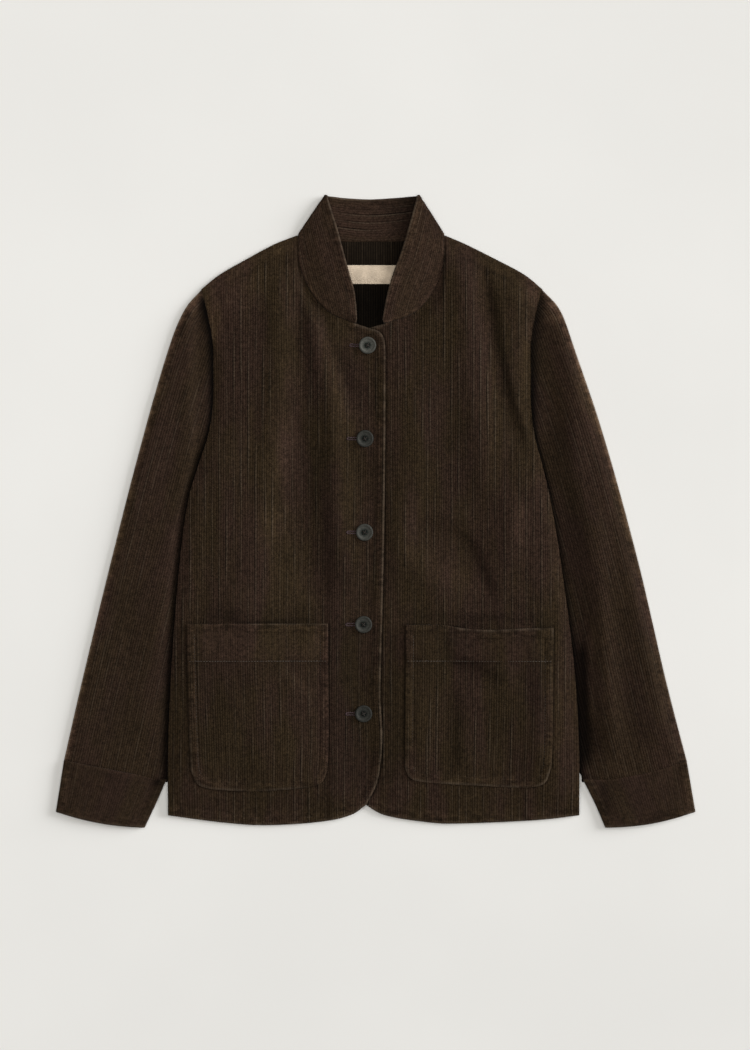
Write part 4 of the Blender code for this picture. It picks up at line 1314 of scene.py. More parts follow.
def add_back():
    neck = smooth_line(BACK_NECK)
    head = chain(LINES["shoulder", "right"], neck, LINES["shoulder", "left"][::-1])
    foot = smooth_line(BACK_HEM)
    x, y, columns, mask, picks = body_grid(PANEL_RIGHT, PANEL_LEFT, foot, head, (70, 34))
    sewn = [LINES["body", "right"], LINES["body", "left"], head]
    facts = body_facts(x, y, columns, [foot], sewn)
    # Painted light and shade on the inside of the back where it shows in the neck: lighter towards the top,
    # darker towards +X
    lit = np.interp(y, (232.0, 256.0, 284.0, 300.0), (0.50, 0.68, 1.70, 1.90))
    inner_painted_light = lit * (1.0 - 0.6 * soft_step((x - 6.0) / 30.0)) - 1.0
    base = back_under(x, y)
    lift = -edge_profile(x, y, facts["edge"], facts["seam"])
    fine = np.stack([x, y, base + np.maximum(lift, 0.0) + settings().rib_height], axis=-1)
    fine -= normals_of(fine) * rib_relief(facts["wale"], facts["along"])[..., None]
    fine[..., 2] = np.maximum(fine[..., 2], 0.0)
    behind = np.stack([x, y, base + CLOTH], axis=-1)
    cloth = Cloth()
    add_wall(cloth, fine, behind, facts, mask, *picks, inner_painted_light)
    made = cloth.make("back_cloth", cloth_finishes())
    as_piece(made, "back")


# ---- Sleeves and cuffs -------------------------------------------------------------------------


def round_edge(distance, radius=2.6):
    """0 at a folded edge and 1 past its bend."""
    left = 1.0 - np.minimum(distance / radius, 1.0)
    return np.sqrt(np.maximum(1.0 - left * left, 0.0))


def square_to(line):
    """Directions square to a line, at its points."""
    run = np.gradient(line, axis=0)
    run /= np.linalg.norm(run, axis=1, keepdims=True)
    return np.column_stack([-run[:, 1], run[:, 0]])


def measured_from(line, inward, points):
    """How far along a line points are, and how far from it."""
    run = run_of(line)
    found = []
    for point in points:
        away = point - line
        k = int(np.argmin((away**2).sum(axis=1)))
        best = None
        for a in (max(k - 1, 0), min(k, len(line) - 2)):
            step = line[a + 1] - line[a]
            t = np.dot(point - line[a], step) / np.dot(step, step)
            t = min(max(t, -3.0 if a == 0 else 0.0), 3.0 if a == len(line) - 2 else 1.0)
            gap = point - line[a] - t * step
            if best is None or np.dot(gap, gap) < best[0]:
                square = np.array([-step[1], step[0]]) / np.linalg.norm(step) * inward
                best = (np.dot(gap, gap), run[a] + t * np.linalg.norm(step), np.dot(gap, square))
        found.append(best[1:])
    return np.array(found)


def ring_points(x, y, top, fold_height, edge):
    """The upper and the lower half of a flattened tube, with round folds at its sides."""
    full = round_edge(edge)
    middle = fold_height / 2
    above = middle + (top - middle) * full
    below = middle * (1.0 - full)
    return np.stack([x, y, above], axis=-1), np.stack([x, y, below], axis=-1)


def make_tube(name, above, below, facts, wall, picks):
    """A tube from its two halves, outside and inside. The columns of both run out from the fold."""
    rows, columns = picks
    outside = np.concatenate([above[:, ::-1], below[:, 1:]], axis=1)
    ring = {}
    for fact in FACTS:
        spread = np.broadcast_to(facts.get(fact, 0.0), above.shape[:2])
        lower = spread
        # Painted light and shade stays whole on the upper half; on the lower half only near the fold
        if fact == "painted_light_and_marks":
            lower = spread * (1.0 - soft_step((facts["edge"] - 1.0) / 3.0))
        ring[fact] = np.concatenate([spread[:, ::-1], lower[:, 1:]], axis=1)
    normal = normals_of(outside, wrap=True)
    if normal[:, : above.shape[1] // 2, 2].mean() < 0:
        normal = -normal
    sound = np.linalg.norm(normal, axis=2) > 0.5
    relief = np.where(sound, rib_relief(ring["wale"], ring["along"]), 0.0)
    relief *= 1.0 - 0.5 * ring["calm"]
    relief *= soft_step(ring["seam"] / 1.5)
    fine_points = outside + normal * (relief - 0.45)[..., None]
    fine_points[..., 2] = np.maximum(fine_points[..., 2], 0.0)
    cloth = Cloth()
    fine = cloth.add(fine_points, ring)
    cloth.cover(fine, wrap=True)
    size = above.shape[1]
    around = np.unique(np.concatenate([size - 1 - columns, size - 1 + columns]))
    around = around[around < outside.shape[1]]
    inner = outside - normal * wall
    inner[..., 2] = np.clip(inner[..., 2], 0.9, np.maximum(outside[..., 2] - 0.9, 0.9))
    pick = np.ix_(rows, around)
    hollow = cloth.add(inner[pick], {fact: ring[fact][pick] for fact in FACTS})
    cloth.cover(hollow, finish=1, turned=True, wrap=True)
    for end, at in ((0, 0), (-1, len(rows) - 1)):
        loop = [int(k) for k in fine[end]]
        partner = {int(fine[end, j]): int(hollow[at, k]) for k, j in enumerate(around)}
        cloth.rim(loop if end else loop[::-1], partner)
    return cloth.make(name, sleeve_finishes())


def cuff_seam(side, past=0.0):
    """The seam between a sleeve and its cuff."""
    start = np.array([getattr(CUFF_OUTER[0], side), CUFF_OUTER[0].y - past])
    end = np.array([getattr(CUFF_INNER[0], side), CUFF_INNER[0].y - past])
    return sagging_line(start, end, getattr(CUFF_SEAM_SAG, side))


def add_sleeve(side):
    """A tube whose wales run beside its outer fold, and are cut off by its other edges."""
    outer, inner = LINES["outer", side], LINES["inner", side]
    armhole = LINES["armhole", side][::-1]
    inward = 1.0 if side == "right" else -1.0
    extra = 30.0
    axis = longer(outer, extra)
    run = run_of(axis) - extra
    cap = measured_from(axis, inward, armhole)
    under_arm = measured_from(axis, inward, inner)
    hand = measured_from(axis, inward, cuff_seam(side, 3.0))
    for found in (cap, under_arm, hand):
        found[:, 0] -= extra
    widest = float(under_arm[:, 1].max())
    columns = wale_columns(0.0, widest)
    start = np.interp(columns, np.maximum.accumulate(cap[:, 1]), cap[:, 0]) - ARMHOLE_REACH
    end = np.interp(columns, np.maximum.accumulate(hand[:, 1]), hand[:, 0])
    at = row_places(start, end, 96)
    order = np.argsort(under_arm[:, 0])
    width = np.interp(at, under_arm[order, 0], under_arm[order, 1])
    width = np.where(at < under_arm[0, 0], 1e3, width)
    strayed = columns + drift(columns + 500.0, at) * soft_step(columns / 9.0)
    off = np.where(columns < width, np.minimum(strayed, width), width)
    square = square_to(axis) * inward
    x = np.interp(at, run, axis[:, 0]) + off * np.interp(at, run, square[:, 0])
    y = np.interp(at, run, axis[:, 1]) + off * np.interp(at, run, square[:, 1])
    edge = np.minimum(off, width - off)
    above, below = ring_points(x, y, sleeve_top(x, y), SLEEVE_FOLD_HEIGHT, edge)
    seam_line = cuff_seam(side)
    seam_line = seam_line[np.argsort(seam_line[:, 0])]
    cut = distance_to(x, y, [seam_line])
    beside = distance_to(x, y, [LINES["body", side]])
    shade = np.array(ARMHOLE_SHADE[side])
    wide, dark = (np.interp(y, shade[:, 0], shade[:, k]) for k in (1, 2))
    shadow = -dark * np.exp(-((beside / wide) ** 2))
    shadow *= 0.3 + 0.7 * soft_step((LINES["body", side][:, 1].max() - y - 3.0) / 14.0)
    # Painted highlight along the outer fold: broad on the right sleeve, narrow on the left and brightest
    # there on the upper arm
    if side == "right":
        rim = 1.7 * np.exp(-(((off - 0.6) / 5.4) ** 2))
    else:
        upper = soft_step((y + 60.0) / 70.0) * soft_step((215.0 - y) / 50.0)
        rim = 0.3 * np.exp(-((off / 2.2) ** 2))
        rim += (0.35 + 1.55 * upper) * np.exp(-(((off - 2.4) / 2.3) ** 2))
    # Painted shadow beside the body, and painted light and shade from the strokes, as a share of the pile's
    # tone
    painted_light_and_marks = (1.0 + shadow) * (1.0 + strokes(SLEEVE_PAINTED_LIGHT, x, y) + rim) - 1.0
    facts = {
        "wale": columns / settings().wale_pitch,
        "along": at,
        # The fold's edge rubbed lighter: wear, and painted light along the fold
        "edge": off + 0.6,
        "seam": np.where(width - off < 1e-6, 0.0, FAR_OFF),
        "painted_light_and_marks": np.maximum(painted_light_and_marks, -0.93),
    }
    above[..., 2] -= 0.5 * (1.0 - soft_step(cut / 2.4))
    seam_y = height_on(seam_line, x)
    tucked = soft_step((seam_y - y + 0.4) / 2.2)
    middle = 0.5 * above[..., 2] + 0.2
    above[..., 2] = middle + (above[..., 2] - middle) * (1.0 - 0.55 * tucked)
    below[..., 2] = below[..., 2] + (middle - below[..., 2]) * 0.5 * tucked
    picks = row_picks(len(at), 3), groove_picks(columns)
    made = make_tube("sleeve_" + side + "_cloth", above, below, facts, SLEEVE_WALL, picks)
    as_piece(made, "sleeve_" + side)
    loop = np.vstack([outer, cuff_seam(side), inner[::-1], armhole[::-1]])


def add_cuff(side):
    """A band round the end of the sleeve, open at the hand."""
    seam = cuff_seam(side, 0.3)
    start = np.array([getattr(CUFF_OUTER[-1], side), CUFF_OUTER[-1].y])
    end = np.array([getattr(CUFF_INNER[-1], side), CUFF_INNER[-1].y])
    hand = sagging_line(start, end, getattr(CUFF_EDGE_SAG, side))
    outer = side_line(CUFF_OUTER, side)
    inner = side_line(CUFF_INNER, side)
    wide = float(run_of(seam)[-1])
    columns = wale_columns(0.0, wide)
    shares = columns / wide
    depth = run_of(outer)[-1]
    down = row_places(np.zeros(1), np.array([depth]), 26)[:, 0] / depth
    foot, head = along(hand, shares), along(seam, shares)
    left, right = along(outer, down), along(inner, down)
    share, rest = shares[:, None], (1 - shares)[:, None]
    straight = left[:, None] * rest + right[:, None] * share
    bow_head = head - rest * head[0] - share * head[-1]
    bow_foot = foot - rest * foot[0] - share * foot[-1]
    plan = straight + (1 - down)[:, None, None] * bow_head + down[:, None, None] * bow_foot
    x, y = plan[..., 0], plan[..., 1]
    middle = (start + end) / 2
    spread = np.abs(x - middle[0]) / abs(start[0] - end[0])
    top = CUFF_FOLD_HEIGHT + (CUFF_HEIGHT - CUFF_FOLD_HEIGHT) * soft_step(2.6 * (0.62 - spread))
    width = np.linalg.norm(plan[:, -1] - plan[:, 0], axis=1)[:, None]
    fold = np.minimum(shares, 1 - shares) * width
    above, below = ring_points(x, y, top, CUFF_FOLD_HEIGHT, fold)
    from_hand, from_seam = distance_to(x, y, [hand]), distance_to(x, y, [seam])
    above[..., 2] += edge_profile(x, y, from_hand, from_seam + 0.9, 4.0)
    # Painted light along the seam, and painted shade over the whole cuff, more on the right one
    painted_light_and_marks = 0.24 * np.exp(-((from_seam - 1.0) ** 2)) - (0.15 if side == "right" else 0.08)
    facts = {
        "wale": columns / settings().wale_pitch + 0.37,
        "along": -y,
        "edge": np.minimum(from_hand, fold + 1.0),
        "seam": FAR_OFF,
        "calm": 0.5,
        "painted_light_and_marks": painted_light_and_marks + strokes(CUFF_PAINTED_LIGHT, x, y),
    }
    picks = row_picks(len(down), 2), groove_picks(columns)
    made = make_tube("cuff_" + side + "_cloth", above, below, facts, CUFF_WALL, picks)
    as_piece(made, "cuff_" + side)


# ---- Collar ------------------------------------------------------------------------------------


def collar_stations():
    """The band's seam and top edge, with heights, from the right tip round to the left one."""
    back_shares = np.linspace(0.0, 1.0, 44)
    seam = along(smooth_line(BACK_NECK), back_shares) - np.array([0.0, 0.6])
    seam[:, 0] *= 1.0 - 2.2 / 84.0
    edge = along(smooth_line(COLLAR_BACK_EDGE), back_shares)
    height = np.full((len(seam), 1), COLLAR_CLOTH / 2)
    back = np.hstack([seam, height, edge, height])

    def front(side, fold):
        shares = np.linspace(0.0, 1.0, 64)
        low = along(LINES["neck", side][::-1], shares)
        low[:, 0] -= np.sign(low[:, 0]) * 2.2 * soft_step((shares - 0.72) / 0.28)
        high = along(side_line(COLLAR_EDGE, side), shares)
        over = CLOTH + LAP_GAP if side == "right" else 0.0
        tip_height = CLOTH + PANEL_GAP + COLLAR_CLOTH / 2 + over
        fold_height = COLLAR_CLOTH / 2 + 2 * COLLAR_FOLD_RADIUS
        z = tip_height + (fold_height - tip_height) * soft_step((shares - 0.45) / 0.55)
        rise = COLLAR_RISE * np.sin(math.pi * shares) ** 0.8
        low[-1], high[-1] = fold[:2], fold[3:5]
        sewn_flat = 0.9 * COLLAR_FOLD_RADIUS * soft_step((shares - 0.45) / 0.55)
        return np.column_stack([low, z - sewn_flat, high, z + rise])

    def turn(fold):
        low, high = fold[:2], fold[3:5]
        run = (high - low) / np.linalg.norm(high - low)
        outward = np.array([-run[1], run[0]]) * math.copysign(1.0, -run[1] * low[0])
        found = []
        for angle in np.radians((67.0, 45.0, 22.0, 0.0, -22.0, -45.0, -67.0)):
            shift = outward * COLLAR_FOLD_RADIUS * math.cos(angle)
            up = COLLAR_FOLD_RADIUS * (1.0 + math.sin(angle))
            z = COLLAR_CLOTH / 2 + up
            found.append([*(low + 0.2 * shift), z - 0.45 * up, *(high + 0.9 * shift), z])
        return np.array(found)

    right = np.vstack([front("right", back[0]), turn(back[0])])
    left = np.vstack([front("left", back[-1]), turn(back[-1])])
    return np.vstack([right, back, left[::-1]])


def add_collar():
    """One band, two layers thick, whose wales run along its length from the top edge."""
    stations = collar_stations()
    low, high = stations[:, :3], stations[:, 3:]
    width = np.linalg.norm(low - high, axis=1)
    columns = wale_columns(0.0, float(width.max()))
    off = np.minimum(columns[None, :], width[:, None])
    share = off / width[:, None]
    bulge = 1.4 * (1.0 - soft_step(off / 6.0)) / width[:, None]
    down = (low - high)[:, None]
    middle = high[:, None] + down * (share - bulge)[..., None]
    middle[..., 2] += 0.9 * np.sin(math.pi * share) ** 2
    run = run_of(stations[:, 3:5])
    tip = np.minimum(run, run[-1] - run)[:, None]
    seam_side = width[:, None] - off
    station = np.arange(len(run))
    # Painted light and shade along the collar, and a painted highlight along the top edge of its left front
    lit = np.interp(station, *zip(*COLLAR_PAINTED_LIGHT))
    lit = lit[:, None] + 0.2 * np.exp(-((off / 8.0) ** 2)) * (station > 120)[:, None]
    inner = (station > 70) & (station < 115)
    dashes = soft_step(0.5 + 0.9 * lattice_noise(run, 0.0, 3.6, 1.0, 9))[:, None]
    sewn = 0.7 * np.exp(-(((seam_side - 2.6) / 1.4) ** 2)) * dashes
    facts = {
        "wale": np.broadcast_to(columns / settings().wale_pitch, off.shape),
        "along": np.broadcast_to(run[:, None], off.shape),
        "edge": np.minimum(off, tip) + 0.7,
        "seam": seam_side + 2.2,
        "painted_light_and_marks": lit + sewn * ~inner[:, None],
        "calm": np.where(inner, 0.0, 0.4)[:, None],
    }
    thick = np.full(off.shape, COLLAR_CLOTH)
    thick *= 1.0 - (1.0 - COLLAR_TIP_CLOTH / COLLAR_CLOTH) * np.exp(-((tip / 14.0) ** 2))
    closing = round_edge(off, 2.0) * round_edge(seam_side, 4.0) * round_edge(tip, 2.0)
    groove = 0.22 * np.exp(-(((off - 6.2) / 1.6) ** 2))
    normal = normals_of(np.ascontiguousarray(middle))
    gone = np.linalg.norm(normal, axis=2) < 0.5
    relief = np.where(gone, 0.0, 0.7 * rib_relief(facts["wale"], facts["along"])) * closing
    half = (thick / 2 - 0.3 - groove) * closing + relief
    cloth = Cloth()
    for sign, turned in ((1.0, False), (-1.0, True)):
        layer = middle + normal * (sign * half)[..., None]
        layer[..., 2] = np.maximum(layer[..., 2], 0.0)
        cloth.cover(cloth.add(layer, facts), turned=turned)
    made = cloth.make("collar_cloth", [corduroy_finish("corduroy_collar", 0.55, 0.24, 0.52, 0.5)])
    as_piece(made, "collar")


# ---- What lies on the body ---------------------------------------------------------------------


def pocket_plan(side):
    """A pocket's lower and higher edge in X, as graphs of height, and its foot."""
    rows, foot = RIGHT_POCKET, RIGHT_POCKET_FOOT
    if side == "left":
        rows, foot = LEFT_POCKET, LEFT_POCKET_FOOT
    outer = smooth_line([(row.outer, row.y) for row in rows])[::-1]
    inner = smooth_line([(row.inner, row.y) for row in rows])[::-1]
    low, high = (outer, inner) if side == "right" else (inner, outer)
    foot = smooth_line(foot)
    return low, high, foot if side == "right" else foot[::-1]


def pocket_under(x, y):
    return front_top(x, y) + POCKET_SEAT


def band_step(y):
    """0 below the edge of a pocket's turned band and 1 above it."""
    return soft_step((y - POCKET_BAND_Y) / POCKET_BAND_STEP)


def pocket_lift(x, y, edge):
    """How far a pocket stands off its front in the middle, and the soft folds in it."""
    return creased(POCKET_CREASES, x, y) * soft_step(edge / 18.0) + 1.1 * soft_step(edge / 30.0)


def add_pocket(side):
    low_side, high_side, foot = pocket_plan(side)

    def x_at(edge, y):
        return np.interp(y, edge[:, 1], edge[:, 0])

    first, last = float(low_side[:, 0].min()), float(high_side[:, 0].max())
    wide = last - first
    columns = wale_columns(first, last)
    shares = (columns - first) / wide
    shares[0], shares[-1] = 0.002, 0.998
    foot_low, foot_high = x_at(low_side, foot[:, 1]), x_at(high_side, foot[:, 1])
    foot_share = (foot[:, 0] - foot_low) / (foot_high - foot_low)
    foot_y = np.interp(shares, np.maximum.accumulate(foot_share), foot[:, 1])
    head = smooth_line(POCKET_TOPS[side])
    y = row_places(foot_y, height_on(head, columns), 64)
    x = x_at(low_side, y) * (1 - shares) + x_at(high_side, y) * shares
    facts = body_facts(x, y, columns, [low_side, high_side, foot, head], [])
    band = band_step(y)
    rim = (1.0 - soft_step((facts["edge"] - 7.5) / 3.0)) * (1.0 - band)
    # Painted light and shade: strokes over the folds, the right pocket's band and both rims lighter, each
    # pocket darker overall, the right one more, and the right one lighter near its inner edge
    band_painted_light, base_painted_shade = (0.20, 0.14) if side == "right" else (0.0, 0.06)
    facts["painted_light_and_marks"] = strokes(POCKET_PAINTED_LIGHT, x, y) + band_painted_light * band + 0.12 * rim - base_painted_shade
    if side == "right":
        facts["painted_light_and_marks"] += 0.16 * (1.0 - soft_step((x_at(high_side, y) - x - 9.0) / 5.0))
    facts["calm"] = np.maximum(0.55 * band, 0.35 * rim)
    under = pocket_under(x, y)
    lift = pocket_lift(x, y, facts["edge"])
    line = np.exp(-(((y - POCKET_BAND_Y + 0.6) / 1.2) ** 2))
    z = under + CLOTH - FACE_DROP + edge_profile(x, y, facts["edge"], FAR_OFF)
    z += POCKET_BAND_RISE * band + lift - 0.5 * line
    # Painted shade just under the band's edge
    facts["painted_light_and_marks"] -= 0.30 * np.exp(-(((y - POCKET_BAND_Y + 2.6) / 1.1) ** 2))
    x = x + drift(x + 300.0, y) * soft_step(facts["edge"] / 9.0)
    over = np.stack([x, y, z], axis=-1)
    relief = rib_relief(facts["wale"], facts["along"]) * (1.0 - 0.5 * facts["calm"])
    over += normals_of(over) * relief[..., None]
    below = np.stack([x, y, under + lift * 0.8], axis=-1)
    rubbed = soft_step((-y - (225.0 if side == "right" else 262.0)) / 30.0)
    if side == "right":
        rubbed *= soft_step((x_at(high_side, y) - x - 12.0) / 20.0)
        rubbed = np.maximum(rubbed, 0.5 * (y > -135.0) * soft_step((x + 150.0) / 20.0))
    else:
        rubbed = np.maximum(rubbed, (y > -142.0) * soft_step((x - 84.0) / 12.0))
    facts["edge"] = facts["edge"] + 2.6 * (1.0 - rubbed)
    mask = np.ones((len(y) - 1, len(columns) - 1), bool)
    cloth = Cloth()
    add_wall(cloth, over, below, facts, mask, row_picks(len(y), 2), groove_picks(columns))
    made = cloth.make("pocket_" + side + "_cloth", cloth_finishes())
    as_piece(made, "pocket_" + side)


def label_finish():
    """Plain cream cloth with a fine even weave."""
    made, surface, graph = new_material("label_cream", 0.75, 0.1, 0.4, 0.25)
    place = graph.place()
    parts = graph.add("ShaderNodeSeparateXYZ", {0: place}, None)
    threads = [graph.maths("SINE", graph.times(parts.outputs[k], 9000.0)) for k in (0, 1)]
    weave = graph.times(*threads)
    soft = graph.noise(place, 90.0, 3.0)
    level = graph.plus(graph.times(weave, 0.06), graph.ramp(soft, 0.3, 0.7, 0.82, 1.12))
    paint(graph, surface, graph.scaled(tuple(colours().label), level))
    bump_into(graph, surface, weave, 0.00008)
    return made


def add_label():
    across = np.concatenate([[0.0, 0.4, 1.0], np.linspace(2.0, 66.4, 60), [67.4, 68.0, 68.4]])
    up = np.concatenate([[0.0, 0.4, 1.0], np.linspace(1.8, 19.4, 22), [20.2, 20.8, 21.2]])
    x, y = np.meshgrid(LABEL_LEFT + across, LABEL_BOTTOM + up)
    from_left, from_foot = x - LABEL_LEFT, y - LABEL_BOTTOM
    edge = np.minimum(
        np.minimum(from_left, LABEL_RIGHT - x), np.minimum(from_foot, LABEL_TOP - y)
    )
    puff = 0.35 * np.sin(from_left / 11.0) * np.sin(from_foot / 9.0 + 0.6)
    full = round_edge(edge, 0.8)
    z = CLOTH + 0.3 + 0.5 + (0.9 + puff) * soft_step(edge / 6.0)
    facts = {"edge": edge, "seam": FAR_OFF}
    cloth = Cloth()
    for sign, turned in ((1.0, False), (-1.0, True)):
        layer = np.stack([x, y, z + sign * 0.4 * full], axis=-1)
        cloth.cover(cloth.add(layer, facts), turned=turned)
    made = cloth.make("neck_label_cloth", [label_finish()])
    as_piece(made, "neck_label")


# ---- Buttons -----------------------------------------------------------------------------------

ProfilePoint = namedtuple("ProfilePoint", "out up")

BUTTON_PROFILE = table(
    ProfilePoint, (7, 0), (8.5, 0.15), (9.2, 0.7), (9.6, 1.5), (9.5, 2.3), (9.1, 2.9), (8.5, 3.2),
    (7.8, 3.15), (7.2, 2.8), (6.6, 2.3), (5.9, 2.05), (4, 1.85),
)
HOLE_RADIUS = 0.95
HOLE_SPACING = 3.4


def button_finish():
    """Horn-like plastic: a pale clouded rim and a dark middle."""
    tones = colours()
    made, surface, graph = new_material("button_horn", 0.5, specular=0.06)
    out = graph.fact("edge")
    place = graph.place()
    cloudy = graph.noise(place, 260.0, 4.0, 0.6)
    moved = graph.plus(out, graph.times(graph.minus(cloudy, 0.5), 3.2))
    share = graph.ramp(moved, 2.0, 6.4)
    tone = graph.mix(share, wide_open(tones.button_middle), wide_open(tones.button))
    level = graph.ramp(graph.noise(place, 700.0, 3.0), 0.25, 0.75, 0.75, 1.25)
    # Painted light for each button, and painted shade towards the outer rim
    own = graph.times(graph.fact("tone"), graph.ramp(out, 6.4, 8.4, 1.12, 0.84))
    paint(graph, surface, graph.scaled(tone, graph.times(level, own)))
    rough = graph.ramp(cloudy, 0.3, 0.7, 0.52, 0.70)
    graph.tree.links.new(rough, surface.inputs["Roughness"])
    bump_into(graph, surface, cloudy, 0.0001)
    return made


def button_mesh(finish, sides=56):
    """A turned button with four holes cut through it."""
    shape = bmesh.new()
    rings = []
    turns = np.linspace(0.0, 2 * math.pi, sides, endpoint=False)
    for out, up in BUTTON_PROFILE:
        rings.append([shape.verts.new((out * math.cos(t), out * math.sin(t), up)) for t in turns])
    for a, b in zip(rings, rings[1:]):
        for k in range(sides):
            shape.faces.new((a[k], a[(k + 1) % sides], b[(k + 1) % sides], b[k]))
    shape.faces.new(rings[0][::-1])
    shape.faces.new(rings[-1])
    mesh = bpy.data.meshes.new("button_blank")
    shape.to_mesh(mesh)
    shape.free()
    pins = bmesh.new()
    radii = {"radius1": HOLE_RADIUS, "radius2": HOLE_RADIUS}
    shift = HOLE_SPACING / 2
    for across in (-shift, shift):
        for up in (-shift, shift):
            made = bmesh.ops.create_cone(pins, cap_ends=True, segments=20, depth=9.0, **radii)
            bmesh.ops.translate(pins, verts=made["verts"], vec=(across, up, 1.0))
    cutter_mesh = bpy.data.meshes.new("button_pins")
    pins.to_mesh(cutter_mesh)
    pins.free()
    blank, cutter = link("button_blank", mesh), link("button_pins", cutter_mesh)
    cut = blank.modifiers.new("holes", "BOOLEAN")
    cut.operation, cut.object, cut.solver = "DIFFERENCE", cutter, "EXACT"
    scene = bpy.context.evaluated_depsgraph_get()
    done = bpy.data.meshes.new_from_object(blank.evaluated_get(scene))
    for old in (blank, cutter):
        bpy.data.objects.remove(old)
    count = len(done.vertices)
    places = np.empty(count * 3, np.float32)
    done.vertices.foreach_get("co", places)
    places = places.reshape(-1, 3)
    out = done.attributes.new("edge", "FLOAT", "POINT")
    out.data.foreach_set("value", np.hypot(places[:, 0], places[:, 1]))
    done.vertices.foreach_set("co", (places * METRE).reshape(-1))
    done.materials.clear()
    done.materials.append(finish)
    done.shade_smooth()
    done.set_sharp_from_angle(angle=math.radians(40.0))
    return done


def tube_along(points, radius, sides=7):
    """A round thread along some points: its vertices and faces."""
    points = np.asarray(points, float)
    run = np.gradient(points, axis=0)
    run /= np.linalg.norm(run, axis=1, keepdims=True)
    up = np.where(np.abs(run[:, 2:3]) > 0.95, (1.0, 0.0, 0.0), (0.0, 0.0, 1.0))
    side = np.cross(run, up)
    side /= np.linalg.norm(side, axis=1, keepdims=True)
    over = np.cross(side, run)
    turns = np.linspace(0.0, 2 * math.pi, sides, endpoint=False)
    ring = np.cos(turns)[None, :, None] * side[:, None] + np.sin(turns)[None, :, None] * over[:, None]
    vertices = (points[:, None] + radius * ring).reshape(-1, 3)
    faces = []
    for row in range(len(points) - 1):
        for k in range(sides):
            a, b = row * sides + k, row * sides + (k + 1) % sides
            faces.append((a, b, b + sides, a + sides))
    faces.append(tuple(range(sides))[::-1])
    faces.append(tuple(range(len(vertices) - sides, len(vertices))))
    return vertices, faces


def joined(parts):
    """Several meshes' vertices and faces as one."""
    vertices, faces, size = [], [], 0
    for points, sides in parts:
        vertices.append(points)
        faces += [tuple(k + size for k in face) for face in sides]
        size += len(points)
    return np.vstack(vertices), faces


def simple_mesh(name, vertices, faces, finish):
    mesh = bpy.data.meshes.new(name)
    mesh.from_pydata((np.asarray(vertices) * METRE).tolist(), [], faces)
    mesh.materials.append(finish)
    mesh.shade_smooth()
    return link(name, mesh)


def button_threads(place, seat, turn):
    """Thread through the four holes, crossed over the middle, and the shank below."""
    parts = []
    half = HOLE_SPACING / 2
    corners = [(-half, -half), (half, half), (-half, half), (half, -half)]
    for pair in (corners[:2], corners[2:]):
        (ax, ay), (bx, by) = pair
        for shift in (-0.32, 0.0, 0.32):
            nx, ny = -(by - ay), bx - ax
            size = math.hypot(nx, ny)
            ox, oy = nx / size * shift, ny / size * shift
            line = []
            for t in np.linspace(0.0, 1.0, 11):
                z = 2.05 + 0.55 * math.sin(math.pi * t) ** 0.7 - (1.4 if t in (0.0, 1.0) else 0.0)
                line.append((ax + (bx - ax) * t + ox, ay + (by - ay) * t + oy, z))
            parts.append(tube_along(line, 0.2))
    for ax, ay in corners:
        shank = [(ax, ay, 2.2), (ax * 0.95, ay * 0.95, 0.6), (ax * 0.8, ay * 0.8, -0.9)]
        parts.append(tube_along(shank, 0.55))
    vertices, faces = joined(parts)
    c, s = math.cos(turn), math.sin(turn)
    x, y, z = vertices.T
    turned = np.column_stack([x * c - y * s, x * s + y * c, z])
    return turned + np.array([place.x, place.y, seat]), faces


def buttonhole(place):
    """A bar of close stitches round a slit, at right angles to the front's edge."""
    left, right, half = place.x - 18.6, place.x + 3.0, 1.15
    straight = np.linspace(left, right, 44)
    turns = np.linspace(math.pi / 2, 3 * math.pi / 2, 9)[1:-1]
    upper = [(x, half) for x in straight[::-1]]
    end = [(left + half * math.cos(t), half * math.sin(t)) for t in turns]
    lower = [(x, -half) for x in straight]
    near = [(right - half * math.cos(t), -half * math.sin(t)) for t in turns]
    path = np.array(upper + end + lower + near)
    spots = along(np.vstack([path, path[:1]]), np.linspace(0.0, 1.0, 150, endpoint=False))
    away = spots - np.column_stack([np.clip(spots[:, 0], left, right), np.zeros(len(spots))])
    away /= np.maximum(np.linalg.norm(away, axis=1, keepdims=True), 1e-6)
    t = np.linspace(0.0, 1.0, 5)
    lines = spots[:, None] + away[:, None] * (1.2 * t - 0.55)[None, :, None]
    lines[..., 1] += place.y
    rise = 0.07 * np.sin(2.1 * np.arange(len(spots)))[:, None]
    z = right_front_under(lines[..., 0], lines[..., 1]) + CLOTH + 0.1 + 0.5 * np.sin(math.pi * t) + rise
    loops = np.concatenate([lines, z[..., None]], axis=2)
    return joined([tube_along(line, 0.17, 5) for line in loops])


def add_buttons():
    finish = button_finish()
    thread = thread_finish("button_thread", [0.5 * c for c in colours().thread])
    holes = thread_finish("buttonhole_thread", colours().buttonhole)
    mesh = button_mesh(finish)
    for number, place in enumerate(BUTTON_PLACES, start=1):
        low, _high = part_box(f"button_{number}")
        seat = low[2] / METRE
        turn = 0.35 * math.sin(number * 2.3)
        own = mesh.copy()
        tones = own.attributes.new("tone", "FLOAT", "POINT")
        tone = BUTTON_PAINTED_LIGHT[number - 1]
        tones.data.foreach_set("value", np.full(len(own.vertices), tone, np.float32))
        button = link(f"button_{number}_horn", own)
        button.location = (place.x * METRE, place.y * METRE, seat * METRE)
        button.rotation_euler = (0.02 * math.sin(number), 0.02 * math.cos(number), turn)
        as_piece(button, f"button_{number}")
        vertices, faces = button_threads(place, seat, turn)
        as_piece(simple_mesh(f"button_{number}_thread", vertices, faces, thread), None)
        vertices, faces = buttonhole(place)
        as_piece(simple_mesh(f"buttonhole_{number}", vertices, faces, holes), None)


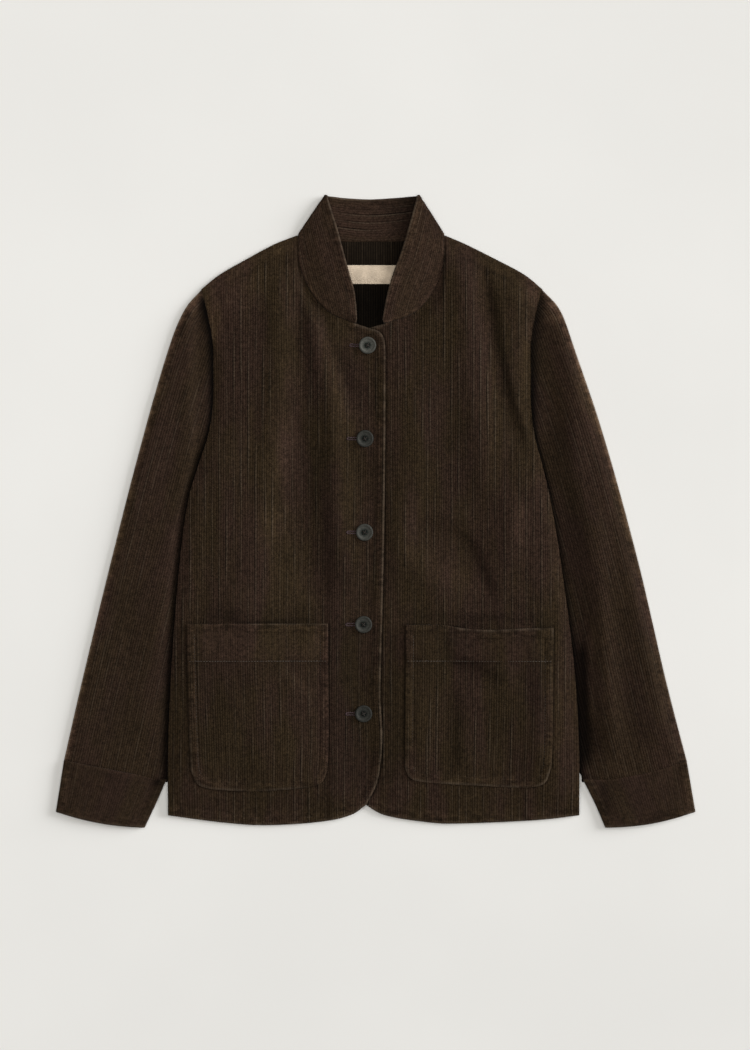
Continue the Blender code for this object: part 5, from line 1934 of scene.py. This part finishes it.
# ---- Top stitching -----------------------------------------------------------------------------

STITCH_SINK = 0.3
FRONT_STITCH_IN = 6.6
POCKET_STITCH_IN = 9.0


def moved_in(line, distance):
    """A line moved to one side."""
    return line + square_to(line) * distance


def stitch_line(line, height, radius=0.24, gap=0.8):
    """Short raised stitches along a line that lies on the cloth."""
    length = settings().stitch_length
    total = run_of(line)[-1]
    count = int(total / length)
    shares = np.linspace(0.0, 1.0, count + 1)
    starts, ends = shares[:-1], shares[:-1] + (length - gap) / total
    a, b = along(line, starts), along(line, np.minimum(ends, 1.0))
    run = b - a
    size = np.linalg.norm(run, axis=1, keepdims=True)
    run = run / np.maximum(size, 1e-6)
    side = np.column_stack([-run[:, 1], run[:, 0]])
    vertices, faces = [], []
    profile = ((0.0, 0.25, -0.45), (0.22, 1.0, 0.0), (0.78, 1.0, 0.0), (1.0, 0.25, -0.45))
    ring = ((1.0, 0.0), (0.5, 0.85), (-0.5, 0.85), (-1.0, 0.0), (0.0, -0.7))
    for share, swell, drop in profile:
        for out, up in ring:
            place = a + (b - a) * share + side * radius * swell * out
            z = height(place[:, 0], place[:, 1]) + 0.02 + drop * 0.7 + radius * swell * up
            vertices.append(np.column_stack([place, z]))
    points = np.stack(vertices, axis=1)
    per = len(profile) * len(ring)
    for k in range(count):
        first = k * per
        for row in range(len(profile) - 1):
            for c in range(len(ring)):
                p = first + row * len(ring) + c
                q = first + row * len(ring) + (c + 1) % len(ring)
                faces.append((p, q, q + len(ring), p + len(ring)))
        faces.append(tuple(first + c for c in range(len(ring)))[::-1])
        faces.append(tuple(first + per - len(ring) + c for c in range(len(ring))))
    return points.reshape(-1, 3), faces


def right_front_height(x, y):
    return right_front_under(x, y) + CLOTH - STITCH_SINK


def left_front_height(x, y):
    return left_front_under(x, y) + CLOTH - STITCH_SINK


def pocket_height(x, y):
    low, high, foot = pocket_plan("right" if np.mean(x) < 0 else "left")
    edge = distance_to(x, y, [low, high, foot, np.array([low[-1], high[-1]])])
    base = pocket_under(x, y) + CLOTH - STITCH_SINK + POCKET_BAND_RISE * band_step(y)
    return base + pocket_lift(x, y, edge) + edge_profile(x, y, edge, FAR_OFF)


def add_stitching():
    thread = thread_finish("top_thread", colours().thread)
    light = thread_finish("band_thread", [1.7 * c for c in colours().thread])
    opening = chain(smooth_line(RIGHT_HEM), smooth_line(RIGHT_OPENING))
    right = stitch_line(moved_in(opening, FRONT_STITCH_IN), right_front_height)
    left = stitch_line(moved_in(smooth_line(LEFT_HEM), FRONT_STITCH_IN), left_front_height)
    vertices, faces = joined([right, left])
    as_piece(simple_mesh("front_stitching", vertices, faces, thread), None)
    for side in SIDES:
        low, high, foot = pocket_plan(side)
        around = moved_in(chain(low[::-1], foot, high), POCKET_STITCH_IN)
        vertices, faces = stitch_line(around[4:-4], pocket_height)
        as_piece(simple_mesh(f"pocket_{side}_stitching", vertices, faces, thread), None)
        y = POCKET_BAND_Y - 0.6
        start, end = (np.interp(y, edge[:, 1], edge[:, 0]) for edge in (low, high))
        span = np.linspace(start + 2.0, end - 2.0, 30)
        across = np.column_stack([span, np.full(30, y)])
        vertices, faces = stitch_line(across, pocket_height, 0.36, 0.3)
        as_piece(simple_mesh(f"pocket_{side}_band_stitching", vertices, faces, light), None)


# ---- Stage -------------------------------------------------------------------------------------


FLOOR_HALF = 12.0
FLOOR_DROP = 0.0004
CAMERA_HEIGHT = 3.0
VIEW_LENGTH = 1.176  # what the longer side of the view shows, in metres
SENSOR = 36.0


def add_floor():
    made, surface, graph = new_material("pale_paper", 0.85, specular=0.1)
    place = graph.place()
    level = graph.ramp(graph.noise(place, 3.0, 3.0), 0.3, 0.7, 0.985, 1.015)
    parts = graph.add("ShaderNodeSeparateXYZ", {0: place}, None)
    # Painted shade: the floor a little darker towards -Y
    level = graph.times(level, graph.ramp(parts.outputs["Y"], -0.62, -0.05, 0.95, 1.0))
    paint(graph, surface, graph.scaled(tuple(colours().floor), level))
    mesh = bpy.data.meshes.new("floor")
    corners = [(-1, -1), (1, -1), (1, 1), (-1, 1)]
    vertices = [(x * FLOOR_HALF, y * FLOOR_HALF, -FLOOR_DROP) for x, y in corners]
    mesh.from_pydata(vertices, [], [(0, 1, 2, 3)])
    mesh.materials.append(made)
    link("floor", mesh)


def add_light(name, energy, place, degrees, colour):
    """A wide, far light that shines from a place towards the jacket."""
    light = bpy.data.lights.new(name, "SUN")
    light.energy, light.angle, light.color = energy, math.radians(degrees), colour
    made = link(name, light)
    made.location = place
    made.rotation_euler = (-Vector(place)).to_track_quat("-Z", "Y").to_euler()


def add_camera():
    data = bpy.data.cameras.new("camera")
    data.sensor_width = SENSOR
    data.lens = SENSOR * CAMERA_HEIGHT / VIEW_LENGTH
    data.clip_start, data.clip_end = 0.05, 50.0
    made = link("camera", data)
    made.location = (-0.0006, -0.0142, CAMERA_HEIGHT)
    bpy.context.scene.camera = made


def add_world():
    world = bpy.data.worlds.new("studio")
    world.use_nodes = True
    background = world.node_tree.nodes["Background"]
    background.inputs["Color"].default_value = (1.0, 0.96, 0.88, 1.0)
    background.inputs["Strength"].default_value = 0.10
    bpy.context.scene.world = world


# ---- Operators ---------------------------------------------------------------------------------


class JacketOperator:
    """What the operators share: each makes its pieces and says so."""

    bl_options = {"REGISTER", "UNDO"}

    def execute(self, context):
        self.build(context)
        return {"FINISHED"}


class JACKET_OT_body(JacketOperator, bpy.types.Operator):
    """Makes the back and the two fronts"""

    bl_idname = "jacket.body"
    bl_label = "Back and fronts"

    def build(self, _context):
        add_back()
        add_front("right")
        add_front("left")


class JACKET_OT_sleeves(JacketOperator, bpy.types.Operator):
    """Makes the two sleeves"""

    bl_idname = "jacket.sleeves"
    bl_label = "Sleeves"

    def build(self, _context):
        for side in SIDES:
            add_sleeve(side)


class JACKET_OT_cuffs(JacketOperator, bpy.types.Operator):
    """Makes the two cuffs"""

    bl_idname = "jacket.cuffs"
    bl_label = "Cuffs"

    def build(self, _context):
        for side in SIDES:
            add_cuff(side)


class JACKET_OT_collar(JacketOperator, bpy.types.Operator):
    """Makes the folded stand collar"""

    bl_idname = "jacket.collar"
    bl_label = "Collar"

    def build(self, _context):
        add_collar()


class JACKET_OT_pockets(JacketOperator, bpy.types.Operator):
    """Makes the two patch pockets"""

    bl_idname = "jacket.pockets"
    bl_label = "Pockets"

    def build(self, _context):
        for side in SIDES:
            add_pocket(side)


class JACKET_OT_label(JacketOperator, bpy.types.Operator):
    """Makes the plain label inside the neck"""

    bl_idname = "jacket.label"
    bl_label = "Neck label"

    def build(self, _context):
        add_label()


class JACKET_OT_buttons(JacketOperator, bpy.types.Operator):
    """Makes the buttons, their threads and the buttonholes"""

    bl_idname = "jacket.buttons"
    bl_label = "Buttons"

    def build(self, _context):
        add_buttons()


class JACKET_OT_stitching(JacketOperator, bpy.types.Operator):
    """Makes the top stitching"""

    bl_idname = "jacket.stitching"
    bl_label = "Top stitching"

    def build(self, _context):
        add_stitching()


class JACKET_OT_stage(JacketOperator, bpy.types.Operator):
    """Makes the floor, the lights and the camera"""

    bl_idname = "jacket.stage"
    bl_label = "Stage"

    def build(self, context):
        add_floor()
        add_world()
        add_light("overhead_light", 1.86, (0.0, 0.1, 2.0), 64.0, (1.0, 0.985, 0.955))
        add_light("side_light", 3.75, (1.75, 0.53, 0.57), 32.0, (0.985, 0.992, 1.0))
        add_camera()
        context.scene.view_settings.view_transform = "Standard"
        context.scene.view_settings.look = "None"


class JACKET_PT_panel(bpy.types.Panel):
    """Lists the jacket's sizes, colours and pieces"""

    bl_idname = "JACKET_PT_panel"
    bl_label = "Jacket"
    bl_space_type = "VIEW_3D"
    bl_region_type = "UI"
    bl_category = "Jacket"

    def draw(self, context):
        for group in (context.scene.jacket_sizes, context.scene.jacket_colours):
            box = self.layout.box()
            for name in group.__annotations__:
                box.prop(group, name)
        for operator in STEPS:
            self.layout.operator(operator.bl_idname)


STEPS = (
    JACKET_OT_body,
    JACKET_OT_sleeves,
    JACKET_OT_cuffs,
    JACKET_OT_collar,
    JACKET_OT_pockets,
    JACKET_OT_label,
    JACKET_OT_buttons,
    JACKET_OT_stitching,
    JACKET_OT_stage,
)
CLASSES = (JacketSizes, JacketColours, *STEPS, JACKET_PT_panel)


def register():
    for kind in CLASSES:
        bpy.utils.register_class(kind)
    bpy.types.Scene.jacket_sizes = bpy.props.PointerProperty(type=JacketSizes)
    bpy.types.Scene.jacket_colours = bpy.props.PointerProperty(type=JacketColours)


def unregister():
    del bpy.types.Scene.jacket_colours
    del bpy.types.Scene.jacket_sizes
    for kind in reversed(CLASSES):
        bpy.utils.unregister_class(kind)


def main():
    register()
    for step in STEPS:
        group, name = step.bl_idname.split(".")
        getattr(getattr(bpy.ops, group), name)()


if __name__ == "__main__":
    main()
